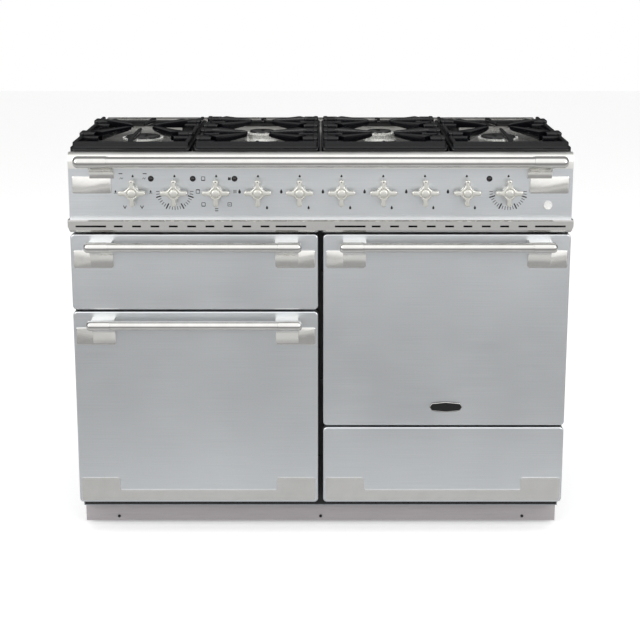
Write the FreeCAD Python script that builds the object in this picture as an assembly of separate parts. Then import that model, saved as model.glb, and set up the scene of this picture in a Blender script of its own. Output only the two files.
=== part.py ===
"""Range cooker: two side-hung ovens, a drop-down grill, a storage drawer and a six-burner hob.

Millimetres, +Z up, front towards -Y, origin at the middle of the base. Depths are counted
backwards from the plane of the door faces, heights from the floor.
"""
import math
import os

import FreeCAD
import Part

Vector = FreeCAD.Vector

# ---- doors and drawer front -------------------------------------------------------------
door_width = 538.5
centre_gap = 11.0
row_gap = 4.4
door_bottom = 80.0
left_door_height = 445.6
grill_door_height = 169.5
drawer_front_height = 178.2
skin_depth = 24.0
skin_sheet = 1.5
skin_corner = 9.0
skin_edge = 3.0
skin_lip = 34.0
inner_panel_thick = 6.0
inner_panel_inset = 22.0
seal_width = 8.0
seal_gap = 0.3

# ---- cabinet ------------------------------------------------------------------------------
body_depth = 608.0
frame_setback = 36.0
frame_thick = 3.0
case_sheet = 2.0
case_inset = 3.0
base_height = 60.0
base_lip = 22.0
plinth_recess = 65.0
plinth_sheet = 2.0
plinth_floor_gap = 8.0
plinth_width = 1084.0
foot_radius = 22.0
foot_height = 10.0
foot_stud_radius = 6.0
foot_boss_wall = 8.0
foot_inset = 64.0
screw_head_radius = 3.4
screw_head_height = 1.8
screw_shank_radius = 2.0
screw_length = 9.0
screw_height = 19.0
screw_pitch = 466.0
screw_clearance = 0.05

# ---- ovens and grill ------------------------------------------------------------------------
cavity_width = 440.0
cavity_height = 330.0
cavity_depth = 400.0
grill_cavity_height = 110.0
liner_sheet = 2.0
insulation_thick = 24.0
insulation_side_gap = 4.0
guide_rod = 3.0
guide_levels = 4
guide_level_pitch = 62.0
guide_first_level = 60.0
guide_standoff = 7.0
guide_ends = 30.0
guide_rung_share = 0.9
shelf_rod = 3.0
shelf_bar_pitch = 26.0
shelf_bar_share = 0.7
shelf_depth = 320.0
shelf_levels = (1, 3)
shelf_clearance = 0.3
fan_radius = 60.0
fan_blades = 8
fan_blade_depth = 18.0
fan_blade_thick = 1.6
fan_hub_radius = 12.0
fan_wall_gap = 6.0
fan_shaft_radius = 4.0
fan_shaft_gap = 1.0
fan_guard_side = 220.0
fan_guard_thick = 1.5
fan_guard_gap = 6.0
fan_guard_slots = 12
fan_guard_slot_width = 6.0
fan_guard_slot_rim = 4.0
fan_guard_post_radius = 4.0
motor_radius = 38.0
motor_length = 60.0
ring_element_radius = 80.0
element_rod = 3.5
ring_tail_offset = 10.0
grill_loop_width = 48.0
grill_loops = 4
grill_element_drop = 18.0
grill_element_front = 40.0
grill_bus_setback = 30.0
pan_width = 380.0
pan_depth = 330.0
pan_height = 26.0
pan_sheet = 2.0
pan_runner = 8.0
pan_floor_gap = 24.0
pan_setback = 20.0
trivet_rod = 2.5
trivet_bars = 9
trivet_drop = 4.0
trivet_gap = 1.0
trivet_cross_share = 0.9
trivet_foot_share = 0.8
running_clearance = 0.05

# ---- hinges and catches ---------------------------------------------------------------------
hinge_pin_radius = 4.0
hinge_inset = 11.0
hinge_depth = 15.0
hinge_plate_thick = 2.0
hinge_plate_gap = 0.6
hinge_plate_width = 14.0
hinge_pin_reach = 14.0
hinge_boss_radius = 7.0
grill_pin_radius = 2.5
grill_pin_offset = 6.0
grill_arm_width = 4.0
grill_arm_radius = 4.0
grill_arm_inset = 40.0
grill_arm_clearance = 1.5
grill_lug_width = 7.0
catch_width = 3.6
catch_height = 12.0
catch_inset = 95.0
catch_reach = 14.0

# ---- drawer -----------------------------------------------------------------------------------
drawer_box_width = 480.0
drawer_box_depth = 436.0
drawer_box_height = 120.0
drawer_box_lift = 22.0
drawer_sheet = 1.5
runner_height = 6.0
runner_width = 6.0
runner_clearance = 0.3
runner_lift = 60.0
rail_width = 12.0
rail_above_runner = 12.0
drawer_opening_margin = 14.0

# ---- handles, trims, badge --------------------------------------------------------------------
handle_length = 468.0
handle_radius = 10.0
handle_sleeve_radius = 11.2
handle_sleeve_length = 52.0
handle_standoff = 38.0
handle_drop = 21.5
handle_tip = 9.0
bracket_plate_width = 86.0
bracket_plate_height = 39.0
bracket_plate_top = 36.0
bracket_plate_thick = 2.5
bracket_plate_end = 263.0
bracket_arm_width = 50.0
bracket_arm_end = 226.0
bracket_arm_top = 12.0
bracket_arm_root = 12.5
bracket_arm_root_rise = 0.75
trim_length = 526.0
trim_end_width = 86.0
trim_end_height = 53.0
trim_strip_height = 24.0
trim_thick = 2.5
trim_lift = 6.0
trim_corner = 4.0
badge_width = 74.0
badge_height = 24.0
badge_thick = 3.0
badge_shoulder = 0.86
badge_shoulder_rise = 0.72
badge_offset = 4.0
badge_lift = 44.0

# ---- control panel, vent trim, rail ---------------------------------------------------------
vent_width = 1092.0
vent_height = 27.0
vent_gap = 6.5
vent_reach = 13.0
vent_chamfer = 5.0
vent_sheet = 2.0
vent_slot_height = 4.0
vent_slot_drop = 13.5
vent_short_slot = 19.0
vent_short_count = 9
vent_short_pitch = 39.6
vent_short_start = 120.0
vent_long_slot = 66.0
vent_long_start = 31.0
vent_outer_slot_end = 529.0
panel_height = 110.0
panel_setback = 4.0
panel_sheet = 2.0
fascia_height = 34.0
fascia_setback = 2.0
fascia_top_depth = 24.0
fascia_sheet = 2.0
rail_radius = 11.25
rail_sleeve_radius = 12.5
rail_sleeve_length = 72.0
rail_half_length = 524.0
rail_standoff = 50.0
rail_above_panel = 22.0
rail_tip = 10.0
rail_plate_width = 84.5
rail_plate_height = 37.0
rail_plate_thick = 2.5
rail_plate_end = 536.0
rail_plate_drop = 17.0
rail_arm_width = 53.0
rail_arm_end = 498.0
rail_arm_toe = 6.0
rail_arm_heel = 8.0
rail_arm_dip = 2.0
rail_arm_top_gap = 1.0

# ---- knobs, lights, push button ---------------------------------------------------------------
knob_count = 10
knob_pitch = 90.0
knob_drop = 50.0
knob_span = 59.0
knob_arm_width = 11.0
knob_arm_thick = 9.0
knob_hub_radius = 13.5
knob_boss_radius = 9.0
knob_boss_height = 3.0
knob_skirt_radius = 15.0
knob_skirt_height = 3.0
knob_draft = 2.0
knob_height = 29.0
knob_panel_gap = 1.0
knob_spindle_radius = 4.0
spindle_hole_radius = 6.0
spindle_grip = 18.0
control_body_size = 34.0
control_body_depth = 44.0
control_body_overhang = 10.0
light_places = (-366.0, -275.5, -185.6, 364.0)
light_rise = 28.0
light_radius = 6.0
light_proud = 1.5
light_rim = 1.0
light_depth = 14.0
button_place = 491.6
button_drop = 30.0
button_radius = 9.5
button_proud = 5.0
button_travel = 3.0
button_stem_radius = 5.0
button_body = 22.0
button_body_depth = 22.0
button_edge = 1.2
button_stem_length = 11.0
button_end_gap = 1.0
button_cap_thick = 1.0
gas_pipe_radius = 9.0
gas_pipe_end = 450.0
gas_inlet_radius = 15.0
gas_inlet_bore = 9.3
gas_inlet_depth = 15.0
gas_inlet_length = 26.0

# ---- hob --------------------------------------------------------------------------------------
deck_sheet = 2.0
deck_step = 5.0
pan_recess = 16.0
pan_margin = 12.0
back_strip_depth = 26.0
grate_front = 27.0
grate_depth = 458.0
grate_gap = 4.0
grate_outer_width = 262.0
grate_inner_width = 275.0
grate_base_gap = 0.3
grate_rail_width = 18.0
grate_rail_height = 13.7
grate_rib_inset = 5.0
grate_rib_width = 9.0
grate_rib_height = 11.0
grate_corner = 10.0
grate_height = 32.0
finger_width = 9.0
finger_root_height = 22.0
finger_tip_height = 9.0
finger_tip_across = 26.0
finger_tip_along = 16.0
finger_end_reach = 38.0
finger_spread_outer = 105.0
finger_spread_inner = 62.0
hump_length = 26.0
pad_reach = 46.0
pad_half = 25.0
pad_foot = 8.0
pad_drop = 1.5
pad_step_reach = 10.0
pad_step_half = 6.5
grate_low_back = 20.0
outer_burner_depth = 256.0
inner_rear_depth = 345.0
inner_front_depth = 140.0
large_burner_radius = 46.0
medium_burner_radius = 35.0
small_burner_radius = 26.0
burner_flange_height = 4.0
burner_head_height = 16.0
burner_cap_height = 5.0
burner_cup_depth = 20.0
burner_cup_share = 0.8
burner_cup_gap = 0.5
burner_cap_inset = 6.0
burner_flange_reach = 6.0
igniter_radius = 2.5
igniter_height = 18.0

# ---- sizes worked out from the ones above ----------------------------------------------------
body_half = door_width + centre_gap / 2
column_middle = (door_width + centre_gap) / 2
left_door_top = door_bottom + left_door_height
grill_door_bottom = left_door_top + row_gap
door_top = grill_door_bottom + grill_door_height
drawer_top = door_bottom + drawer_front_height
right_door_bottom = drawer_top + row_gap
panel_bottom = door_top + vent_gap + vent_height
panel_top = panel_bottom + panel_height
hob_top = panel_top + fascia_height
deck_top = hob_top - deck_step
knob_line = panel_top - knob_drop
rail_height = panel_top + rail_above_panel
front_reach = rail_standoff + rail_sleeve_radius - panel_setback
face_y = front_reach - (body_depth + front_reach) / 2
frame_back = frame_setback + frame_thick
case_half = body_half - case_inset
inside_half = case_half - case_sheet
inside_back = body_depth - case_sheet
left_cavity_middle = door_bottom + left_door_height / 2
right_cavity_middle = (right_door_bottom + door_top) / 2
grill_cavity_middle = grill_door_bottom + grill_door_height / 2
panel_back = panel_setback + panel_sheet
button_cap_back = panel_back + button_cap_thick
button_stem_end = button_cap_back + button_stem_length
through = 5.0


def block(x0, x1, d0, d1, z0, z1):
    """Box between two X places, two depths behind the door faces and two heights."""
    return Part.makeBox(x1 - x0, d1 - d0, z1 - z0, Vector(x0, face_y + d0, z0))


def rod_x(x0, x1, depth, z, radius):
    """Round bar along X."""
    return Part.makeCylinder(radius, x1 - x0, Vector(x0, face_y + depth, z), Vector(1, 0, 0))


def rod_d(x, d0, d1, z, radius):
    """Round bar running backwards."""
    return Part.makeCylinder(radius, d1 - d0, Vector(x, face_y + d0, z), Vector(0, 1, 0))


def rod_z(x, depth, z0, z1, radius):
    """Upright round bar."""
    return Part.makeCylinder(radius, z1 - z0, Vector(x, face_y + depth, z0))


def prism_x(x0, x1, outline):
    """Polygon of (depth, height) points carried along X."""
    points = [Vector(x0, face_y + depth, z) for depth, z in outline]
    face = Part.Face(Part.makePolygon(points + points[:1]))
    return face.extrude(Vector(x1 - x0, 0, 0))


def prism_d(d0, d1, outline):
    """Polygon of (x, height) points carried backwards."""
    points = [Vector(x, face_y + d0, z) for x, z in outline]
    face = Part.Face(Part.makePolygon(points + points[:1]))
    return face.extrude(Vector(0, d1 - d0, 0))


def joined(first, *others):
    """One solid out of pieces that meet."""
    return first.fuse(list(others)).removeSplitter()


def round_depth_edges(shape, radius):
    """Round the edges of a plate that run backwards."""
    edges = [e for e in shape.Edges if abs(e.tangentAt(e.FirstParameter).y) > 0.999]
    return shape.makeFillet(radius, edges)


def mirrored(shape):
    """The same piece on the other side of the cooker."""
    return shape.mirror(Vector(0, 0, 0), Vector(1, 0, 0))


def save(name, *solids):
    """Write one node: a piece, or a group of separate pieces."""
    shape = solids[0] if len(solids) == 1 else Part.makeCompound(list(solids))
    shape.exportStep("parts/" + name + ".step")


# ---- doors --------------------------------------------------------------------------------------

def door_skin(x0, x1, z0, z1):
    """Folded front: rounded corners and edges, open at the back inside a lip."""
    outer = round_depth_edges(block(x0, x1, 0, skin_depth, z0, z1), skin_corner)
    front = [e for e in outer.Edges if all(abs(v.Y - face_y) < 1e-6 for v in e.Vertexes)]
    outer = outer.makeFillet(skin_edge, front)
    s = skin_sheet
    hollow = block(x0 + s, x1 - s, s, skin_depth - s, z0 + s, z1 - s)
    hollow = round_depth_edges(hollow, skin_corner - s)
    window = block(x0 + skin_lip, x1 - skin_lip, s, skin_depth + through, z0 + skin_lip, z1 - skin_lip)
    return outer.cut(hollow).cut(window)


def door_inner(x0, x1, z0, z1):
    """Inner panel, seated on the lip of the skin."""
    i = inner_panel_inset
    panel = block(x0 + i, x1 - i, skin_depth, skin_depth + inner_panel_thick, z0 + i, z1 - i)
    return round_depth_edges(panel, skin_corner)


def side_hung_skin(x0, x1, z0, z1, hinge_x):
    """Door skin with a bored boss at the top and bottom of its hinged side."""
    skin = door_skin(x0, x1, z0, z1)
    bore = hinge_pin_radius + running_clearance
    ends = ((z0, 1), (z1, -1))
    for z, inward in ends:
        low, high = sorted((z + inward * skin_sheet, z + inward * (hinge_pin_reach + hinge_plate_gap)))
        boss = rod_z(hinge_x, hinge_depth, low, high, hinge_boss_radius)
        skin = joined(skin, boss)
        low, high = sorted((z - inward * through, z + inward * (hinge_pin_reach + through)))
        skin = skin.cut(rod_z(hinge_x, hinge_depth, low, high, bore))
    return skin


def side_hinge(hinge_x, z, inward):
    """Bracket on the front frame with a pin into the door's boss; inward is +1 below the door."""
    gap = hinge_plate_gap
    plate_low, plate_high = sorted((z - inward * gap, z - inward * (gap + hinge_plate_thick)))
    half = hinge_plate_width / 2
    plate = block(hinge_x - half, hinge_x + half, hinge_depth, frame_setback, plate_low, plate_high)
    nose = rod_z(hinge_x, hinge_depth, plate_low, plate_high, half)
    pin_low, pin_high = sorted((z - inward * gap, z + inward * hinge_pin_reach))
    pin = rod_z(hinge_x, hinge_depth, pin_low, pin_high, hinge_pin_radius)
    return joined(plate, nose, pin)


def grill_door_skin(x0, x1, z0, z1):
    """Door skin with lugs for the hinge pins and slots that let it drop past the hinge arms."""
    skin = door_skin(x0, x1, z0, z1)
    axis_z = z0 + grill_pin_offset
    slot_half = grill_arm_width / 2 + grill_arm_clearance
    for x in grill_arm_places(x0, x1):
        for side in (-1, 1):
            near, far = sorted((x + side * slot_half, x + side * (slot_half + grill_lug_width)))
            lug = block(near, far, skin_sheet, grill_pin_offset + grill_arm_radius,
                        z0 + skin_sheet, axis_z + grill_arm_radius)
            skin = joined(skin, lug)
        bore = grill_pin_radius + running_clearance
        reach = slot_half + grill_lug_width + through
        skin = skin.cut(rod_x(x - reach, x + reach, grill_pin_offset, axis_z, bore))
        skin = skin.cut(grill_arm_slot(x, z0))
    return skin


def grill_arm_places(x0, x1):
    """X of the two hinge arms of the grill door."""
    return (x0 + grill_arm_inset, x1 - grill_arm_inset)


def grill_arm_slot(x, z0):
    """Room for one hinge arm through the bottom and back of the grill door."""
    slot_half = grill_arm_width / 2 + grill_arm_clearance
    top = z0 + grill_pin_offset + grill_arm_radius + grill_arm_clearance
    return block(x - slot_half, x + slot_half, skin_sheet + 0.01, skin_depth + inner_panel_thick + through,
                 z0 - through, top)


def grill_hinge(x, z0):
    """Arm from the front frame, with a cross pin in the lugs of the grill door."""
    axis_z = z0 + grill_pin_offset
    r = grill_arm_radius
    arm = block(x - grill_arm_width / 2, x + grill_arm_width / 2, grill_pin_offset, frame_setback,
                axis_z - r, axis_z + r)
    eye = rod_x(x - grill_arm_width / 2, x + grill_arm_width / 2, grill_pin_offset, axis_z, r)
    reach = grill_arm_width / 2 + grill_arm_clearance + grill_lug_width
    pin = rod_x(x - reach, x + reach, grill_pin_offset, axis_z, grill_pin_radius)
    return joined(arm, eye, pin)


def handle(middle, top):
    """Bar, two end sleeves and two brackets, as five pieces that meet face to face."""
    bar_z = top - handle_drop
    half = handle_length / 2
    joint = half - handle_sleeve_length
    bar = rod_x(middle - joint, middle + joint, -handle_standoff, bar_z, handle_radius)
    pieces = [bar]
    for side in (-1, 1):
        near, far = sorted((middle + side * joint, middle + side * half))
        sleeve = rod_x(near, far, -handle_standoff, bar_z, handle_sleeve_radius)
        tip = [e for e in sleeve.Edges if len(e.Vertexes) == 1
               and abs(e.Vertexes[0].X - (middle + side * half)) < 1e-6]
        pieces.append(sleeve.makeChamfer(handle_tip, tip))
        pieces.append(handle_bracket(middle, side, top, bar_z))
    return pieces


def handle_bracket(middle, side, top, bar_z):
    """L-shaped plate on the door, with an arm that carries the bar's end sleeve."""
    outer = bracket_plate_end
    inner = outer - bracket_plate_width
    low = top - bracket_plate_top - bracket_plate_height
    x0, x1 = sorted((middle + side * inner, middle + side * outer))
    plate = block(x0, x1, -bracket_plate_thick, 0, low, low + bracket_plate_height)
    plate = round_depth_edges(plate, trim_corner)
    arm_out = bracket_arm_end
    x0, x1 = sorted((middle + side * (arm_out - bracket_arm_width), middle + side * arm_out))
    seat = -handle_standoff + math.sqrt(handle_sleeve_radius ** 2 - (handle_sleeve_radius / 2) ** 2)
    arm_top = top - bracket_arm_top
    sweep = [(0, arm_top), (-handle_standoff, arm_top), (seat, bar_z - handle_sleeve_radius / 2),
             (-bracket_arm_root, low + bracket_plate_height * bracket_arm_root_rise),
             (-bracket_plate_thick, low + trim_corner), (0, low + trim_corner)]
    arm = prism_x(x0, x1, sweep)
    bar = rod_x(x0 - through, x1 + through, -handle_standoff, bar_z, handle_sleeve_radius)
    return joined(plate, arm).cut(bar)


def bottom_trim(middle, z0):
    """U-shaped polished plate along the foot of a door."""
    half = trim_length / 2
    low = z0 + trim_lift
    high, step = low + trim_end_height, low + trim_strip_height
    outline = [(middle - half, low), (middle + half, low), (middle + half, high),
               (middle + half - trim_end_width, high), (middle + half - trim_end_width, step),
               (middle - half + trim_end_width, step), (middle - half + trim_end_width, high),
               (middle - half, high)]
    return round_depth_edges(prism_d(-trim_thick, 0, outline), trim_corner)


def badge(middle, z0):
    """Bare plate with pointed ends and bowed edges."""
    half, rise = badge_width / 2, badge_height / 2
    z = z0 + badge_lift
    shoulder = half * badge_shoulder
    edge = rise * badge_shoulder_rise
    points = [(-half, 0), (-shoulder, edge), (0, rise), (shoulder, edge),
              (half, 0), (shoulder, -edge), (0, -rise), (-shoulder, -edge)]
    at = [Vector(middle + x, face_y - badge_thick, z + dz) for x, dz in points]
    edges = [Part.LineSegment(at[0], at[1]), Part.Arc(at[1], at[2], at[3]),
             Part.LineSegment(at[3], at[4]), Part.LineSegment(at[4], at[5]),
             Part.Arc(at[5], at[6], at[7]), Part.LineSegment(at[7], at[0])]
    face = Part.Face(Part.Wire([e.toShape() for e in edges]))
    return face.extrude(Vector(0, badge_thick, 0))


def make_grill_door():
    x0, x1 = -body_half, -centre_gap / 2
    save("grill_door_skin", grill_door_skin(x0, x1, grill_door_bottom, door_top))
    inner = door_inner(x0, x1, grill_door_bottom, door_top)
    for x in grill_arm_places(x0, x1):
        inner = inner.cut(grill_arm_slot(x, grill_door_bottom))
    save("grill_door_inner_panel", inner)
    save("grill_door_handle", *handle(-column_middle, door_top))


def make_left_oven_door():
    x0, x1 = -body_half, -centre_gap / 2
    hinge_x = x0 + hinge_inset
    save("left_oven_door_skin", side_hung_skin(x0, x1, door_bottom, left_door_top, hinge_x))
    save("left_oven_door_inner_panel", door_inner(x0, x1, door_bottom, left_door_top))
    save("left_oven_door_handle", *handle(-column_middle, left_door_top))
    save("left_oven_door_trim", bottom_trim(-column_middle, door_bottom))


def make_right_oven_door():
    x0, x1 = centre_gap / 2, body_half
    hinge_x = x1 - hinge_inset
    save("right_oven_door_skin", side_hung_skin(x0, x1, right_door_bottom, door_top, hinge_x))
    save("right_oven_door_inner_panel", door_inner(x0, x1, right_door_bottom, door_top))
    save("right_oven_door_handle", *handle(column_middle, door_top))
    save("right_oven_door_badge", badge(column_middle + badge_offset, right_door_bottom))


def make_hinges_and_catches():
    pieces = []
    hinge_x = body_half - hinge_inset
    for x, z, inward in ((-hinge_x, door_bottom, 1), (-hinge_x, left_door_top, -1),
                         (hinge_x, right_door_bottom, 1), (hinge_x, door_top, -1)):
        pieces.append(side_hinge(x, z, inward))
    for x in grill_arm_places(-body_half, -centre_gap / 2):
        pieces.append(grill_hinge(x, grill_door_bottom))
    for side, low, high in ((-1, door_bottom, left_door_top), (1, right_door_bottom, door_top)):
        for z in (low + catch_inset, high - catch_inset):
            x = side * (centre_gap / 2 - catch_width)
            near, far = sorted((x, x + side * (catch_width - shelf_clearance)))
            pieces.append(block(near, far, frame_setback - catch_reach, frame_setback,
                                z - catch_height / 2, z + catch_height / 2))
    save("door_hinges_and_catches", *pieces)


# ---- storage drawer ---------------------------------------------------------------------------

def make_drawer():
    x0, x1 = centre_gap / 2, body_half
    save("drawer_front", door_skin(x0, x1, door_bottom, drawer_top))
    save("drawer_trim", bottom_trim(column_middle, door_bottom))
    half = drawer_box_width / 2
    low = door_bottom + drawer_box_lift
    high = low + drawer_box_height
    s = drawer_sheet
    back = skin_depth + drawer_box_depth
    box = block(column_middle - half, column_middle + half, skin_depth, back, low, high)
    box = box.cut(block(column_middle - half + s, column_middle + half - s, skin_depth + s, back - s,
                        low + s, high + through))
    for side in (-1, 1):
        wall = column_middle + side * half
        near, far = sorted((wall, wall + side * runner_width))
        box = joined(box, block(near, far, frame_back + through, back, low + runner_lift,
                                low + runner_lift + runner_height))
    save("drawer_box", box)
    rails = []
    for side in (-1, 1):
        wall = column_middle + side * (half + runner_clearance)
        near, far = sorted((wall, wall + side * rail_width))
        top = low + runner_lift + runner_height + rail_above_runner
        rail = block(near, far, frame_back, back + through, base_height, top)
        near, far = sorted((wall - side * through, wall + side * (runner_width + runner_clearance)))
        groove = block(near, far, frame_back - through, back + 2 * through,
                       low + runner_lift - runner_clearance,
                       low + runner_lift + runner_height + runner_clearance)
        rails.append(rail.cut(groove))
    save("drawer_rails", *rails)


# ---- cabinet --------------------------------------------------------------------------------------

def make_base():
    s = case_sheet
    top = block(-inside_half, inside_half, frame_setback, inside_back, base_height - s, base_height)
    flange_front = plinth_recess + plinth_sheet
    low = base_height - base_lip
    ring = block(-inside_half, inside_half, flange_front, inside_back, low, base_height - s)
    ring = ring.cut(block(-inside_half + s, inside_half - s, flange_front + s, inside_back - s,
                          low - through, base_height - s + through))
    holder = block(-inside_half, inside_half, flange_front, flange_front + s, screw_height - through,
                   base_height - s)
    base = joined(top, ring, holder)
    for x in (-screw_pitch, 0, screw_pitch):
        base = base.cut(rod_d(x, flange_front - through, flange_front + 3 * s, screw_height,
                              screw_shank_radius + screw_clearance))
    feet = []
    for x in (-inside_half + foot_inset, inside_half - foot_inset):
        for depth in (flange_front + foot_inset, inside_back - foot_inset):
            bore = rod_z(x, depth, low - through, base_height + through,
                         foot_stud_radius + screw_clearance)
            boss = rod_z(x, depth, low, base_height - s, foot_stud_radius + foot_boss_wall)
            base = joined(base, boss).cut(bore)
            pad = rod_z(x, depth, 0, foot_height, foot_radius)
            feet.append(joined(pad, rod_z(x, depth, foot_height, base_height, foot_stud_radius)))
    save("base_frame", base)
    save("levelling_feet", *feet)


def make_plinth():
    half = plinth_width / 2
    front = plinth_recess
    top = base_height - case_sheet
    plate = block(-half, half, front, front + plinth_sheet, plinth_floor_gap, top)
    screws = []
    for x in (-screw_pitch, 0, screw_pitch):
        plate = plate.cut(rod_d(x, front - through, front + through, screw_height,
                                screw_shank_radius + screw_clearance))
        head = rod_d(x, front - screw_head_height, front, screw_height, screw_head_radius)
        shank = rod_d(x, front, front + screw_length, screw_height, screw_shank_radius)
        screws.append(joined(head, shank))
    save("plinth", plate)
    save("plinth_screws", *screws)


def make_casing():
    low = base_height - base_lip
    top = deck_top - deck_sheet
    side = block(inside_half, case_half, frame_setback, inside_back, low, top)
    side = side.cut(block(inside_half - through, case_half + through, frame_setback - through,
                          plinth_recess + plinth_sheet, low - through, base_height - case_sheet))
    save("side_panels", side, mirrored(side))
    rear = block(-case_half, case_half, inside_back, body_depth, low, top)
    bore = gas_inlet_radius + screw_clearance
    rear = rear.cut(rod_d(gas_pipe_end, inside_back - through, body_depth + through, gas_line(), bore))
    save("rear_cover", rear)


def gas_line():
    """Height of the gas pipe's middle, just under the control bodies."""
    return knob_line - control_body_size / 2 - gas_pipe_radius


def make_front_frame():
    frame = block(-inside_half, inside_half, frame_setback, frame_back, base_height, panel_bottom)
    half = cavity_width / 2
    openings = ((-column_middle, left_cavity_middle, cavity_height),
                (column_middle, right_cavity_middle, cavity_height),
                (-column_middle, grill_cavity_middle, grill_cavity_height))
    for x, z, height in openings:
        frame = frame.cut(block(x - half, x + half, frame_setback - through, frame_back + through,
                                z - height / 2, z + height / 2))
    reach = drawer_box_width / 2 + drawer_opening_margin
    low = door_bottom + drawer_box_lift
    frame = frame.cut(block(column_middle - reach, column_middle + reach, frame_setback - through,
                            frame_back + through, low - drawer_opening_margin,
                            low + drawer_box_height + drawer_opening_margin))
    divider = block(-case_sheet / 2, case_sheet / 2, frame_back, inside_back - 2 * case_sheet,
                    base_height, panel_bottom)
    save("front_frame", joined(frame, divider))


# ---- ovens and grill chamber ---------------------------------------------------------------------

def liner(x, z, height):
    """Open-fronted enamelled box behind the front frame."""
    half, s = cavity_width / 2, liner_sheet
    back = frame_back + cavity_depth
    outer = block(x - half - s, x + half + s, frame_back, back + s, z - height / 2 - s, z + height / 2 + s)
    return outer.cut(block(x - half, x + half, frame_back - through, back, z - height / 2, z + height / 2))


def insulation(x, z):
    """Blanket round one oven liner."""
    half = cavity_width / 2 + liner_sheet
    rise = cavity_height / 2 + liner_sheet
    back = frame_back + cavity_depth + liner_sheet
    t = insulation_thick
    reach = inside_half - column_middle - insulation_side_gap
    blanket = block(x - reach, x + reach, frame_back, back + t, z - rise - t, z + rise + t)
    blanket = blanket.cut(block(x - half, x + half, frame_back - through, back, z - rise, z + rise))
    return blanket.cut(rod_d(x, back - through, back + t + through, z, motor_radius + running_clearance))


def seal(x, z, height):
    """Gasket on the front frame, round one opening."""
    half, rise, w = cavity_width / 2, height / 2, seal_width
    front = skin_depth + inner_panel_thick + seal_gap
    ring = block(x - half - w, x + half + w, front, frame_setback, z - rise - w, z + rise + w)
    return ring.cut(block(x - half, x + half, front - through, frame_setback + through, z - rise, z + rise))


def shelf_guide(x, z, side):
    """Ladder of rods that hangs on one side wall and carries the shelves."""
    wall = x + side * cavity_width / 2
    post_x = wall - side * guide_rod
    runner_x = wall - side * (guide_standoff + guide_rod)
    low = z - cavity_height / 2
    d0, d1 = frame_back + guide_ends, frame_back + cavity_depth - guide_ends
    top = low + guide_first_level + (guide_levels - 1) * guide_level_pitch
    pieces = [rod_z(post_x, depth, low, top, guide_rod) for depth in (d0 + guide_ends, d1 - guide_ends)]
    for level in range(guide_levels):
        height = low + guide_first_level + level * guide_level_pitch
        pieces.append(rod_d(runner_x, d0, d1, height, guide_rod))
        for depth in (d0 + guide_ends, d1 - guide_ends):
            near, far = sorted((post_x, runner_x))
            pieces.append(rod_x(near, far, depth, height, guide_rod * guide_rung_share))
    return joined(*pieces)


def shelf(x, z, level):
    """Wire shelf that rests on one pair of runners."""
    half = cavity_width / 2 - guide_standoff - guide_rod
    height = (z - cavity_height / 2 + guide_first_level + level * guide_level_pitch
              + guide_rod + shelf_rod + shelf_clearance / 3)
    d0 = frame_back + guide_ends
    d1 = d0 + shelf_depth
    r = shelf_rod
    sides = [rod_d(x - half, d0, d1, height, r), rod_d(x + half, d0, d1, height, r)]
    ends = [rod_x(x - half, x + half, depth, height, r) for depth in (d0, d1)]
    corners = [Part.makeSphere(r, Vector(cx, face_y + depth, height))
               for cx in (x - half, x + half) for depth in (d0, d1)]
    count = int(2 * half / shelf_bar_pitch)
    step = 2 * half / (count + 1)
    bars = [rod_d(x - half + step * (i + 1), d0, d1, height, r * shelf_bar_share) for i in range(count)]
    return joined(*(sides + ends + corners + bars))


def fan(x, z):
    """Hub, back plate and straight blades on a shaft that runs in the motor."""
    back = frame_back + cavity_depth - fan_wall_gap
    front = back - fan_blade_depth
    hub = rod_d(x, front, back, z, fan_hub_radius)
    plate = rod_d(x, back - fan_blade_thick, back, z, fan_radius)
    shaft = rod_d(x, back, back + motor_length / 2, z, fan_shaft_radius)
    blades = []
    for i in range(fan_blades):
        blade = block(x + fan_hub_radius / 2, x + fan_radius, front, back, z - fan_blade_thick / 2,
                      z + fan_blade_thick / 2)
        blade.rotate(Vector(x, 0, z), Vector(0, 1, 0), i * 360.0 / fan_blades)
        blades.append(blade)
    return joined(hub, plate, shaft, *blades)


def fan_motor(x, z):
    """Motor behind the liner, bored for the fan's shaft."""
    back = frame_back + cavity_depth + liner_sheet
    body = rod_d(x, back, back + motor_length, z, motor_radius)
    return body.cut(rod_d(x, back - through, back + motor_length, z, fan_shaft_radius + running_clearance))


def fan_guard(x, z):
    """Pierced plate on four spacers in front of the fan."""
    half = fan_guard_side / 2
    wall = frame_back + cavity_depth
    back = wall - fan_wall_gap - fan_blade_depth - fan_guard_gap
    plate = block(x - half, x + half, back - fan_guard_thick, back, z - half, z + half)
    plate = round_depth_edges(plate, skin_corner)
    slot_start, slot_end = fan_hub_radius, fan_radius - fan_guard_slot_rim
    slot_half = fan_guard_slot_width / 2
    for i in range(fan_guard_slots):
        slot = block(x + slot_start, x + slot_end, back - through, back + through,
                     z - slot_half, z + slot_half)
        slot.rotate(Vector(x, 0, z), Vector(0, 1, 0), i * 360.0 / fan_guard_slots)
        plate = plate.cut(slot)
    post = half - skin_corner
    posts = [rod_d(x + sx * post, back, wall, z + sz * post, fan_guard_post_radius)
             for sx in (-1, 1) for sz in (-1, 1)]
    return joined(plate, *posts)


def ring_element(x, z):
    """Ring heater round the fan, with two tails through the liner."""
    depth = frame_back + cavity_depth - fan_wall_gap - fan_blade_depth / 2
    ring = Part.makeTorus(ring_element_radius, element_rod, Vector(x, face_y + depth, z), Vector(0, 1, 0))
    tails = [rod_d(x + side * ring_tail_offset, depth, frame_back + cavity_depth + liner_sheet,
                   z + ring_element_radius, element_rod) for side in (-1, 1)]
    return joined(ring, *tails)


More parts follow.
